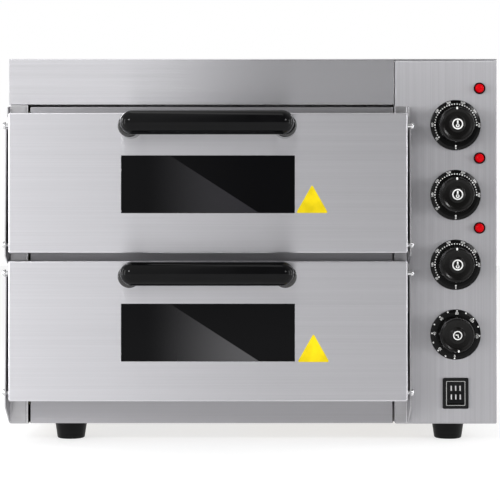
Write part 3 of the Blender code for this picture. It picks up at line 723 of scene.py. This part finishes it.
def cheek_outline():
    """The cheek from below upwards, as (distance out, height), with a notch for each catch screw."""
    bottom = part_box("hinge_cheek_left")[0].z
    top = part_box("hinge_cheek_left")[1].z
    wide = 0.0335
    narrow = 0.027
    notch = 0.009
    prong = 0.015
    outline = [(0, bottom)]
    for deck, rise in (("lower", 0.006), ("upper", 0.003)):
        door_low, door_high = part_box(f"{deck}_door_skin")
        screw_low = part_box(f"{deck}_catch_screw_left")[0].z
        seat = screw_low + 0.0011
        tip = door_high.z - 0.003
        outline += [(wide, door_low.z - rise), (narrow, seat), (notch, seat), (notch, tip), (prong, tip)]
    outline += [(prong, top - 0.003), (0, top)]
    return outline


def hinge_cheeks():
    """Plates at the doors' ends: profiled in side view, with a foot folded in behind the doors."""
    for side, outward, foot in (("left", -1, 0.018), ("right", 1, 0.014)):
        low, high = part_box(f"hinge_cheek_{side}")
        inside = low.x + CHEEK_SHEET if side == "left" else high.x - CHEEK_SHEET
        foot_y = high.y - CHEEK_SHEET
        foot_end = inside - outward * foot
        plan = fillet(((foot_end, foot_y), (inside, foot_y), (inside, low.y)), CHEEK_BEND, 6)
        bm = bmesh.new()
        lower = [bm.verts.new((x, y, low.z)) for x, y in plan]
        upper = [bm.verts.new((x, y, high.z)) for x, y in plan]
        for a, b, c, d in zip(lower, lower[1:], upper[1:], upper):
            bm.faces.new((a, b, c, d))
        bmesh.ops.recalc_face_normals(bm, faces=bm.faces)
        bm.faces.ensure_lookup_table()
        if bm.faces[0].normal.y > 0:
            bmesh.ops.reverse_faces(bm, faces=bm.faces)
        # Its darker steel is painted shade of the doors.
        cheek = to_object(f"hinge_cheek_{side}_sheet", bm, STEEL["cheek"])
        thicken(cheek, CHEEK_SHEET)
        reach = 0.06
        place = at((inside + reach / 2, high.y, 0)) @ SIDE_ON
        outline = [(out - 0.0005 if out == 0 else out, z) for out, z in cheek_outline()]
        combine(cheek, prism_mesh(outline, reach, place), "INTERSECT")
        for deck in DECKS:
            pin = middle(f"{deck}_pivot_pin_{side}")
            combine(cheek, rod_mesh((inside, pin.y, pin.z), X, PIN_HOLE, 0.02))
        ease(cheek)
        settle(cheek, "casing", [f"hinge_cheek_{side}"])


def screw_head_mesh(radius, height):
    """A pan head along +Z with a cross recess."""
    foot = -0.0003
    corners = ((0, height), (radius * 0.78, height), (radius, height * 0.35), (radius, foot), (0, foot))
    profile = fillet(corners, (radius * 0.8, height * 0.4, 0), 6)
    head = to_object("head", turned_mesh(profile, Matrix(), 32))
    width = radius * 0.26
    length = radius * 0.62
    for size in (Vector((length, width / 2, 1)), Vector((width / 2, length, 1))):
        low = Vector((-size.x, -size.y, height * 0.45))
        high = Vector((size.x, size.y, height * 2))
        combine(head, box_mesh(low, high))
    bm = bmesh.new()
    bm.from_mesh(head.data)
    bpy.data.objects.remove(head)
    return bm


def casing_screws():
    """Pan-head screws along the side panels' edges and round the rear panel."""
    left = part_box("left_side_panel")
    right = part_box("right_side_panel")
    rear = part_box("rear_panel")
    inset = 0.012
    rows = (left[0].z + inset, left[1].z - inset)
    lengths = (-0.150, 0.036, 0.222)
    crosses = (-0.200, -0.070, 0.070, 0.200)
    places = {
        "left_side_screws": [(Vector((left[0].x, y, z)), -X) for y in lengths for z in rows],
        "right_side_screws": [(Vector((right[1].x, y, z)), X) for y in lengths for z in rows],
        "rear_screws": [(Vector((x, rear[1].y, z)), Y) for x in crosses for z in rows],
    }
    head = screw_head_mesh(0.0038, 0.0020)
    mesh = bpy.data.meshes.new("screw_head")
    head.to_mesh(mesh)
    head.free()
    for name, spots in places.items():
        bm = bmesh.new()
        for place, direction in spots:
            before = len(bm.verts)
            bm.from_mesh(mesh)
            bm.verts.ensure_lookup_table()
            matrix = at(place) @ facing(direction)
            bmesh.ops.transform(bm, matrix=matrix, verts=bm.verts[before:])
        settle(to_object(name, bm, SCREW_STEEL), "casing")


# Doors


def door_skin(deck):
    """The folded front tray of a door, with its window and the holes of its pins and screws."""
    skin = tray(f"{deck}_door_front", f"{deck}_door_skin", Y, STEEL["door"], DOOR_BEND, DOOR_SHEET)
    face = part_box(f"{deck}_door_skin")[0].y
    pane_low, pane_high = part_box(f"{deck}_window_glass")
    inset = Vector((WINDOW_MARGIN, 0, WINDOW_MARGIN))
    cut_through(skin, pane_low + inset, pane_high - inset, face)
    for kind in ("pivot_pin", "catch_screw"):
        place = middle(f"{deck}_{kind}_left")
        combine(skin, rod_mesh((middle(f"{deck}_door_skin").x, place.y, place.z), X, PIN_HOLE, 0.48))
    ease(skin, 0.00035)
    settle(skin, f"{deck}_door", [f"{deck}_door_skin"])


def window_glass(deck):
    low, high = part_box(f"{deck}_window_glass")
    pane = to_object(f"{deck}_window_pane", box_mesh(low, high), GLASS)
    ease(pane, 0.0006, 3)
    settle(pane, f"{deck}_door", [f"{deck}_window_glass"])


def grip_profile(radius, half, steps=14):
    """Half-outline of a bar with round ends."""
    arc = []
    for step in range(steps + 1):
        angle = math.radians(90 * step / steps)
        arc.append((radius * math.sin(angle), half - radius + radius * math.cos(angle)))
    arc[0] = (0, half)
    return arc + [(r, -h) for r, h in reversed(arc)]


GRIP_SWELL = 1.07
POST_INWARD = 0.0016
POST_RAISE = 0.0006
POST_LENGTH = 0.032


def handle(deck):
    """Glossy bar on two glossy black posts whose ends are hollowed to hold it."""
    low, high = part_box(f"{deck}_handle_grip")
    centre = (low + high) / 2
    radius = (high.y - low.y) / 2 * GRIP_SWELL
    half = (high.x - low.x) / 2
    along = at(centre) @ facing(X)
    grip = to_object(f"{deck}_handle_bar", turned_mesh(grip_profile(radius, half), along, 72), BAKELITE)
    settle(grip, f"{deck}_door", [f"{deck}_handle_grip"])
    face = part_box(f"{deck}_door_skin")[0].y
    for side in ("left", "right"):
        post_low, post_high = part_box(f"{deck}_handle_post_{side}")
        post_radius = (post_high.x - post_low.x) / 2
        inward = POST_INWARD if side == "left" else -POST_INWARD
        axis = (post_low + post_high) / 2
        seat = Vector((axis.x + inward, face - GAP, axis.z + POST_RAISE))
        corners = ((0, POST_LENGTH), (post_radius, POST_LENGTH), (post_radius, 0), (0, 0))
        profile = fillet(corners, (0.0030, 0.0006), 7)
        stem = turned_mesh(profile, at(seat) @ facing(FORWARD), 64)
        post = to_object(f"{deck}_handle_stem_{side}", stem, POST_BLACK)
        combine(post, turned_mesh(grip_profile(radius + GAP, half + GAP), along, 72))
        ease(post, 0.0003, 2, 50)
        settle(post, f"{deck}_door", [f"{deck}_handle_post_{side}"])


def dome_head_mesh(radius, height, shank, length, matrix):
    """A domed head on a plain washer, with its shank."""
    washer = 0.0007
    dome = [(0, height)]
    for step in range(1, 10):
        angle = math.radians(10 * step)
        dome.append((radius * 0.92 * math.sin(angle), washer + (height - washer) * math.cos(angle)))
    rest = [(radius, washer), (radius, 0), (shank, 0), (shank, -length), (0, -length)]
    return turned_mesh(dome + rest, matrix, 40)


def door_fasteners(deck):
    """Pivot pins and catch screws, each with a screwdriver slot across its dome."""
    for kind in ("pivot_pin", "catch_screw"):
        for side, outward in (("left", -1), ("right", 1)):
            node = f"{deck}_{kind}_{side}"
            low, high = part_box(node)
            radius = (high.z - low.z) / 2
            axis = (low + high) / 2
            height = 0.0043
            tip = low.x if side == "left" else high.x
            seat = Vector((tip - outward * height, axis.y, axis.z))
            shank = 0.0030 if kind == "pivot_pin" else 0.0027
            matrix = at(seat) @ facing(X * outward)
            head = dome_head_mesh(radius, height, shank, 0.009, matrix)
            piece = to_object(f"{node}_head", head, SCREW_STEEL)
            slot_low = Vector((-radius * 2, -0.0005, height - 0.0014))
            slot_high = Vector((radius * 2, 0.0005, height + 0.001))
            slot = box_mesh(slot_low, slot_high)
            bmesh.ops.transform(slot, matrix=matrix, verts=slot.verts)
            combine(piece, slot)
            settle(piece, f"{deck}_door", [node])


def rounded_polygon(points, radius, steps=6):
    """A closed outline with rounded corners."""
    points = [Vector(point) for point in points]
    outline = []
    for index, corner in enumerate(points):
        before = points[index - 1]
        after = points[(index + 1) % len(points)]
        reach = corner.lerp(before, 0.5), corner, corner.lerp(after, 0.5)
        outline += fillet(reach, radius, steps)[1:-1]
    return outline


def ribbon(points, width):
    """A flat outline of this width along a path."""
    points = [Vector(point) for point in points]
    left = []
    right = []
    for index, point in enumerate(points):
        ahead = points[min(index + 1, len(points) - 1)]
        behind = points[max(index - 1, 0)]
        direction = (ahead - behind).normalized()
        across = Vector((-direction.y, direction.x)) * width / 2
        left.append(point + across)
        right.append(point - across)
    return left + right[::-1]


def triangle_film(deck):
    """A blank triangle of yellow film beside the window, with nothing printed on it."""
    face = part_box(f"{deck}_door_skin")[0].y
    pane_low, pane_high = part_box(f"{deck}_window_glass")
    hole_right = pane_high.x - WINDOW_MARGIN
    hole_bottom = pane_low.z + WINDOW_MARGIN
    width = 0.0360
    height = 0.0318
    from_window = 0.0013 if deck == "upper" else 0.0028
    base = 0.0002 if deck == "upper" else -0.0006
    centre = Vector((hole_right + from_window + width / 2, face, hole_bottom + base))
    place = at(centre) @ FRONT_ON
    triangle = ((-width / 2, 0), (width / 2, 0), (0, height))
    outline = prism_mesh(rounded_polygon(triangle, 0.0012), PRINT, place)
    film = to_object(f"{deck}_triangle_film", outline, YELLOW_FILM)
    settle(film, f"{deck}_door")


# Controls


def control_frame(name):
    """The middle of a dial on the panel's face, and the transform of a flat drawing on it."""
    place = middle(f"{name}_dial")
    centre = Vector((place.x, FRONT, place.z))
    return centre, at(centre) @ FRONT_ON


def clock(angle, radius):
    """A point at this angle in degrees, clockwise from the top."""
    turn = math.radians(angle)
    return Vector((radius * math.sin(turn), radius * math.cos(turn)))


def disc(centre, radius, steps=16):
    turns = [math.tau * step / steps for step in range(steps)]
    return [(centre.x + radius * math.cos(turn), centre.y + radius * math.sin(turn)) for turn in turns]


def ring_mesh(outer, inner, matrix, steps=56):
    profile = ((outer, PRINT), (outer, 0), (inner, 0), (inner, PRINT))
    return turned_mesh(profile, matrix, steps, closed=True)


def text_mesh(text, size, matrix):
    """Raised figures, centred, as a mesh."""
    curve = bpy.data.curves.new("figures", "FONT")
    curve.body = text
    curve.size = size
    curve.align_x = "CENTER"
    curve.align_y = "CENTER"
    curve.extrude = PRINT / 2
    curve.resolution_u = 3
    curve.offset = size * 0.012
    guide = bpy.data.objects.new("figures", curve)
    bpy.context.scene.collection.objects.link(guide)
    bpy.context.view_layer.update()
    mesh = bpy.data.meshes.new_from_object(guide.evaluated_get(bpy.context.evaluated_depsgraph_get()))
    bm = bmesh.new()
    bm.from_mesh(mesh)
    bmesh.ops.remove_doubles(bm, verts=bm.verts, dist=0.000001)
    bmesh.ops.transform(bm, matrix=matrix @ at((0, 0, PRINT / 2)), verts=bm.verts)
    bpy.data.objects.remove(guide)
    bpy.data.curves.remove(curve)
    bpy.data.meshes.remove(mesh)
    return bm


DIAL_THICKNESS = 0.0030
DIAL_SLOPE = 0.0008
SLOPE_START = 0.0255
SLOPE_END = 0.0287
STEP_ANGLE = 36.0
MINOR = 5


def dial(name):
    """Fixed ring round a cap: its face falls away a little towards the rim."""
    centre, drawing = control_frame(name)
    radius = (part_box(f"{name}_dial")[1].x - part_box(f"{name}_dial")[0].x) / 2
    top = DIAL_THICKNESS
    corners = (
        (0.0050, 0),
        (0.0050, top - 0.0004),
        (0.0218, top - 0.0004),
        (0.0222, top),
        (SLOPE_START, top),
        (SLOPE_END, top - DIAL_SLOPE),
        (radius, 0),
    )
    profile = fillet(corners, (0, 0, 0, 0.001, 0.0006), 4)
    matrix = at(centre + FORWARD * GAP) @ facing(FORWARD)
    ring = to_object(f"{name}_dial_ring", turned_mesh(profile, matrix, 96, closed=True), DIAL_PLASTIC)
    settle(ring, "casing", [f"{name}_dial"])
    return centre, drawing


def on_dial(angle, radius, drawing):
    """The transform of a mark on the dial, turned to its radius and laid on the slope of the rim."""
    where = clock(angle, radius)
    share = max(0.0, (radius - SLOPE_START) / (SLOPE_END - SLOPE_START))
    lift = GAP + DIAL_THICKNESS - DIAL_SLOPE * share
    lean = math.atan2(DIAL_SLOPE, SLOPE_END - SLOPE_START) if share > 0 else 0.0
    turn = Matrix.Rotation(-math.radians(angle), 4, "Z") @ Matrix.Rotation(-lean, 4, "X")
    return drawing @ at((where.x, where.y, lift)) @ turn


def dot(size, angle, radius, drawing):
    return prism_mesh(disc(Vector((0, 0)), size), PRINT, on_dial(angle, radius, drawing))


def figure(text, size, angle, radius, drawing):
    """A figure standing on its radius, its foot towards the middle."""
    return text_mesh(text, size, on_dial(angle, radius, drawing))


def scale_of_thermostat(name, drawing):
    """Dots in steps of ten degrees, larger at the hundreds and fifties, with figures outside them."""
    marks = []
    low_angle = 234.0
    for step in range(6 * MINOR + 1):
        size = 0.00095 if step % MINOR == 0 else 0.00072
        marks.append(dot(size, low_angle + step * STEP_ANGLE / MINOR, 0.0240, drawing))
    for step, text in enumerate(("50", "100", "150", "200", "250", "300", "350")):
        marks.append(figure(text, 0.0034, low_angle + step * STEP_ANGLE, 0.0267, drawing))
    marks.append(dot(0.0010, 180, 0.0240, drawing))
    marks.append(figure("0", 0.0032, 180, 0.0266, drawing))
    settle(to_object(f"{name}_scale", joined(marks), WHITE_PRINT), "casing")


def scale_of_timer(name, drawing):
    """Dots near the rim in steps of ten minutes, with figures at every second one inside them."""
    marks = []
    for step in range(13):
        marks.append(dot(0.00095, 183 + step * 22.5, 0.0272, drawing))
    for step, text in enumerate(("0", "20", "40", "60", "80", "100", "120")):
        marks.append(figure(text, 0.0038, 183 + step * 45, 0.0243, drawing))
    settle(to_object(f"{name}_scale", joined(marks), WHITE_PRINT), "casing")


CAP_FRONT = 0.0200
CAP_RADIUS = 0.0208
DISH = 0.0011
BOSS_RADIUS = 0.0082


def cap(name, pointer_angle):
    """Turning cap: rounded shoulder, shallow dish and a flat boss that carries the mark."""
    body = f"{name}_knob"
    centre, drawing = control_frame(name)
    back = DIAL_THICKNESS + 2 * GAP
    corners = (
        (0, CAP_FRONT),
        (BOSS_RADIUS - 0.0008, CAP_FRONT),
        (BOSS_RADIUS + 0.0010, CAP_FRONT - DISH),
        (0.0150, CAP_FRONT - DISH * 0.75),
        (0.0176, CAP_FRONT),
        (0.0190, CAP_FRONT - 0.0006),
        (CAP_RADIUS - 0.0009, CAP_FRONT - 0.0042),
        (CAP_RADIUS, back + 0.0012),
        (CAP_RADIUS, back),
        (0.0030, back),
        (0.0030, -0.018),
        (0, -0.018),
    )
    radii = (0.0012, 0.0014, 0.0060, 0.0016, 0.0014, 0.0060, 0.0008, 0.0002, 0, 0)
    profile = fillet(corners, radii, 5)
    matrix = at(centre) @ facing(FORWARD)
    turned_cap = to_object(f"{name}_cap", turned_mesh(profile, matrix, 96), CAP_PLASTIC)
    settle(turned_cap, body, [body])
    front = drawing @ at((0, 0, CAP_FRONT))
    where = clock(pointer_angle, 0.0180)
    spin = Matrix.Rotation(-math.radians(pointer_angle), 4, "Z")
    oval = [(u * 0.7, v) for u, v in disc(Vector((0, 0)), 0.00150, 20)]
    marks = [prism_mesh(oval, 0.0004, front @ at((where.x, where.y, -0.0003)) @ spin)]
    if name == "timer":
        marks.append(ring_mesh(0.0052, 0.0040, front))
        hand = ribbon(((-0.0024, 0.0006), (0.0004, 0.0006)), 0.0012)
        short = ribbon(((0.0002, 0.0012), (0.0009, -0.0026)), 0.0012)
        marks += [prism_mesh(hand, PRINT, front), prism_mesh(short, PRINT, front)]
    else:
        marks.append(ring_mesh(0.0062, 0.0048, front))
        stem = ribbon(((0, 0.0040), (0, -0.0012)), 0.0018)
        marks.append(prism_mesh(stem, PRINT, front))
        marks.append(ring_mesh(0.0021, 0.0009, front @ at((0, -0.0019, 0)), 32))
    settle(to_object(f"{name}_cap_mark", joined(marks), WHITE_PRINT), body)


def lamp(position):
    """Domed red lens in a thin dark bezel."""
    node = f"{position}_heating_lamp"
    place = middle(node)
    matrix = at((place.x, FRONT, place.z)) @ facing(FORWARD)
    lens_corners = ((0, 0.0042), (0.0032, 0.0038), (0.0050, 0.0022), (0.0050, 0.0004), (0.0047, 0.0004))
    lens_profile = fillet(lens_corners, (0.006, 0.0022, 0), 6) + [(0.0047, -0.012), (0, -0.012)]
    lens = to_object(f"{position}_lamp_lens", turned_mesh(lens_profile, matrix, 48), RED_LENS)
    settle(lens, "casing", [node])
    rim = 0.00665
    bezel_corners = ((0.0052, 0.0004), (0.0052, 0.0018), (rim, 0.0014), (rim, 0.0003), (0.0054, 0.0003))
    ring = turned_mesh(fillet(bezel_corners, (0.0003, 0.0005, 0), 4), matrix, 48, closed=True)
    bezel = to_object(f"{position}_lamp_bezel", ring, BEZEL_PLASTIC)
    settle(bezel, "casing")


def rectangle(width, height, radius, steps=5):
    u = width / 2
    v = height / 2
    return rounded_polygon(((-u, -v), (u, -v), (u, v), (-u, v)), radius, steps)


def rocker_switch():
    """Moulded frame with a bright line round its well, and a two-way rocker with ribs whose light grey is
    a painted highlight.
    """
    low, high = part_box("switch_frame")
    width = high.x - low.x
    height = high.z - low.z
    centre = Vector(((low.x + high.x) / 2, FRONT, (low.z + high.z) / 2))
    drawing = at(centre) @ FRONT_ON
    rocker_width = 0.0195
    rocker_height = 0.0245
    face = FRONT - low.y
    bezel = to_object(
        "switch_bezel",
        prism_mesh(rectangle(width, height, 0.0016), face - GAP, drawing @ at((0, 0, GAP))),
        SWITCH_PLASTIC,
    )
    ease(bezel, 0.0006, 3, 60)
    shank = rectangle(width - 0.0036, height - 0.0036, 0.0010)
    combine(bezel, prism_mesh(shank, 0.0232, drawing @ at((0, 0, -0.022))), "UNION")
    well = rectangle(rocker_width + 0.0010, rocker_height + 0.0024, 0.0006)
    combine(bezel, prism_mesh(well, 0.03, drawing @ at((0, 0, -0.016))))
    ease(bezel, 0.0002, 2, 50)
    settle(bezel, "casing", ["switch_frame"])
    border = rectangle(rocker_width + 0.0024, rocker_height + 0.0036, 0.0008)
    on_bezel = drawing @ at((0, 0, face - 0.0001))
    line = to_object("switch_bright_line", prism_mesh(border, 0.0003, on_bezel), TRIM)
    combine(line, prism_mesh(well, 0.01, drawing))
    settle(line, "casing")
    pivot = centre + Y * 0.004
    tilt = Matrix.Rotation(math.radians(-8), 4, "X")
    half = rocker_height / 2
    rise = 0.0030
    tip = 0.004 + rise
    waist = 0.004 + rise * 0.45
    outline = fillet(
        ((-0.0060, 0), (-0.0060, half - 0.004), (0.0012, half), (tip, half), (waist, 0), (tip, -half),
         (0.0012, -half), (-0.0060, -half + 0.004), (-0.0060, -0.0001)),
        (0, 0, 0.0008, 0.010, 0.0008, 0, 0),
        5,
    )
    at_side = at(pivot) @ tilt @ SIDE_ON @ at((0, 0, -rocker_width / 2))
    rocker = to_object("rocker_key", prism_mesh(outline, rocker_width, at_side), SWITCH_PLASTIC)
    ease(rocker, 0.0004, 3, 50)
    settle(rocker, "rocker", ["rocker"])
    ribs = []
    slope = math.atan2(tip - waist, half)
    for sign in (-1, 1):
        lean = Matrix.Rotation(-sign * slope, 4, "X")
        for across in (-0.0051, 0.0, 0.0051):
            along = sign * 0.0060
            out = waist + abs(along) * math.tan(slope)
            on_face = at((across, -out - 0.0001, along)) @ lean
            sunk = at((0, 0, -0.0003))
            place = at(pivot) @ tilt @ on_face @ FRONT_ON @ sunk
            ribs.append(prism_mesh(rectangle(0.0014, 0.0080, 0.0006), 0.0007, place))
    # The ribs' light grey colour is a painted highlight.
    rib_piece = to_object("rocker_ribs", joined(ribs), RIB_HIGHLIGHT_GREY)
    ease(rib_piece, 0.00015, 2, 60)
    settle(rib_piece, "rocker")


def cable_gland():
    """Gland with a round collar and a ringed nose, bored for its cable."""
    node = "cable_gland"
    low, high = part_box(node)
    centre = (low + high) / 2
    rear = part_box("rear_panel")[1].y
    reach = high.y - rear
    matrix = at((centre.x, rear, centre.z)) @ facing(Y)
    corners = [(0.0048, -0.010), (0.0048, reach - 0.0006), (0.0056, reach), (0.0078, reach)]
    corners += [(0.0090, reach - 0.0020)]
    for ring in range(3):
        height = reach - 0.0030 - ring * 0.0016
        corners += [(0.0093, height), (0.0099, height - 0.0004), (0.0093, height - 0.0008)]
    corners += [(0.0100, 0.0056), (0.0125, 0.0052), (0.0125, GAP), (0.0080, GAP), (0.0080, -0.010)]
    gland = to_object("cable_gland_body", turned_mesh(corners, matrix, 48, closed=True), SWITCH_PLASTIC)
    ease(gland, 0.0003, 2, 50)
    settle(gland, "casing", [node])


def feet():
    """Tapered rubber feet with a rounded sole, hollow round their screws."""
    for end in ("front", "rear"):
        for side in ("left", "right"):
            node = f"foot_{end}_{side}"
            low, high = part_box(node)
            centre = (low + high) / 2
            height = high.z - low.z
            top_radius = (high.x - low.x) / 2
            sole_radius = top_radius - 0.0030
            recess = ((0.0085, 0), (0.0080, 0.011), (0.0030, 0.011))
            corners = ((0.0030, height), (top_radius, height), (sole_radius, 0), *recess)
            profile = fillet(corners, (0.0005, 0.0024, 0.0006, 0.0006), 6)
            matrix = at((centre.x, centre.y, low.z))
            foot = to_object(f"{node}_rubber", turned_mesh(profile, matrix, 64, closed=True), RUBBER)
            settle(foot, "casing", [node])
            head = ((0, 0.0100), (0.0045, 0.0100), (0.0060, 0.0108), (0.0060, 0.0110))
            shank = ((0.0024, 0.0110), (0.0024, 0.024), (0, 0.024))
            screw = to_object(f"{node}_screw", turned_mesh(head + shank, matrix, 32), SCREW_STEEL)
            settle(screw, "casing")


def dress_nodes():
    """Materials of the nodes that keep their own shape."""
    finishes = {
        "rear_panel": STEEL["rear"],
        "base_plate": INNER,
        "bay_partition": INNER,
        "insulation_wrap": WOOL,
        "timer_body": GEAR_STEEL,
    }
    for deck in DECKS:
        finishes[f"{deck}_chamber"] = INNER
        finishes[f"{deck}_stone"] = STONE
        finishes[f"{deck}_door_liner"] = INNER
    for position in POSITIONS:
        finishes[f"heating_element_{position}"] = SHEATH
    for name in THERMOSTATS:
        finishes[f"{name}_body"] = GEAR_STEEL
    for node, material in finishes.items():
        piece = frame["nodes"][node]
        piece.data.materials.clear()
        piece.data.materials.append(material)


# Studio


AROUND = 0.78
LEFT_LEVEL = 1.14
RIGHT_LEVEL = 0.17
FAR_RIGHT_RISE = 0.30


def world():
    """White studio: the walls are white, and the part in front of the oven is dimmer to the right."""
    made = bpy.data.worlds.new("studio")
    bpy.context.scene.world = made
    made.use_nodes = True
    made.node_tree.nodes.clear()
    nodes = Tree(made.node_tree)
    where = nodes.add("ShaderNodeTexCoord")
    split = nodes.add("ShaderNodeSeparateXYZ")
    nodes.join(where.outputs["Generated"], split.inputs[0])
    ahead = nodes.math("MAXIMUM", nodes.math("MULTIPLY", split.outputs["Y"], -1.0), 0.02)
    across = nodes.math("DIVIDE", split.outputs["X"], ahead)
    left_to_right = nodes.between(across, -0.085, 0.010, LEFT_LEVEL, RIGHT_LEVEL, "SMOOTHSTEP")
    far_right = nodes.between(across, 0.60, 1.40, 0.0, FAR_RIGHT_RISE, "SMOOTHSTEP")
    front = nodes.math("ADD", left_to_right, far_right)
    is_front = nodes.between(split.outputs["Y"], -0.22, -0.02, 1.0, 0.0, "SMOOTHSTEP")
    dimmer = nodes.math("MULTIPLY", nodes.math("SUBTRACT", front, AROUND), is_front)
    studio = nodes.add("ShaderNodeBackground")
    nodes.join(nodes.math("ADD", dimmer, AROUND), studio.inputs["Strength"])
    seen = nodes.add("ShaderNodeBackground")
    seen.inputs["Color"].default_value = (1, 1, 1, 1)
    path = nodes.add("ShaderNodeLightPath")
    mix = nodes.add("ShaderNodeMixShader")
    nodes.join(path.outputs["Is Camera Ray"], mix.inputs["Fac"])
    nodes.join(studio.outputs[0], mix.inputs[1])
    nodes.join(seen.outputs[0], mix.inputs[2])
    output = nodes.add("ShaderNodeOutputWorld")
    nodes.join(mix.outputs[0], output.inputs["Surface"])


def area_light(name, place, target, width, height, power):
    data = bpy.data.lights.new(name, "AREA")
    data.shape = "RECTANGLE"
    data.size = width
    data.size_y = height
    data.energy = power
    made = bpy.data.objects.new(name, data)
    made.location = place
    made.rotation_euler = (Vector(target) - Vector(place)).to_track_quat("-Z", "Y").to_euler()
    bpy.context.scene.collection.objects.link(made)
    return made


def lights():
    """Soft boxes at the left, the right and overhead."""
    target = Vector((0, FRONT, 0.22))
    area_light("left_spot", (-1.15, FRONT - 2.0, 1.25), target, 0.36, 0.36, 17)
    area_light("right_spot", (1.50, FRONT - 2.0, 1.25), target, 0.32, 0.32, 13)
    area_light("left_strip", (-1.70, FRONT - 0.55, 0.45), target, 0.40, 1.10, 6)
    area_light("right_strip", (1.90, FRONT - 0.55, 0.45), target, 0.40, 1.10, 6)
    area_light("left_rim", (-1.50, FRONT + 0.45, 0.40), target, 0.35, 1.10, 10)
    area_light("right_rim", (1.60, FRONT + 0.45, 0.40), target, 0.35, 1.10, 8)
    area_light("top_strip", (-0.10, FRONT - 0.05, 1.70), target, 1.60, 0.20, 1.5)


def floor():
    """Plain pale floor."""
    nodes = Nodes("pale_floor")
    nodes.set(Roughness=0.7)
    tone = nodes.noise((3, 3, 3), detail=2.0)
    greys = ((0.3, (0.40, 0.40, 0.40)), (0.7, (0.43, 0.43, 0.43)))
    nodes.colour(tone, greys)
    nodes.set(Emission_Color=(1, 1, 1, 1), Emission_Strength=0.64)
    bm = bmesh.new()
    bmesh.ops.create_grid(bm, x_segments=1, y_segments=1, size=12)
    to_object("studio_floor", bm, nodes.material)


def camera():
    """Straight on to the front, level, at about half the oven's height."""
    data = bpy.data.cameras.new("camera")
    data.sensor_width = 36.0
    data.lens = 112.9
    data.shift_x = -0.006
    data.shift_y = -0.020
    made = bpy.data.objects.new("camera", data)
    made.location = (0.0022, FRONT - 1.8, 0.231)
    made.rotation_euler = (math.radians(90), 0, 0)
    bpy.context.scene.collection.objects.link(made)
    bpy.context.scene.camera = made


def main():
    bpy.context.scene.view_settings.view_transform = "Standard"
    top_cover()
    left_side_panel()
    right_side_panel()
    rear_louvres()
    front_frame()
    control_panel()
    hinge_cheeks()
    casing_screws()
    for deck in DECKS:
        door_skin(deck)
        window_glass(deck)
        handle(deck)
        door_fasteners(deck)
        triangle_film(deck)
    for name in THERMOSTATS:
        drawing = dial(name)[1]
        scale_of_thermostat(name, drawing)
        cap(name, -2)
    scale_of_timer("timer", dial("timer")[1])
    cap("timer", 176)
    for position in POSITIONS:
        lamp(position)
    rocker_switch()
    cable_gland()
    feet()
    dress_nodes()
    world()
    lights()
    floor()
    camera()


main()
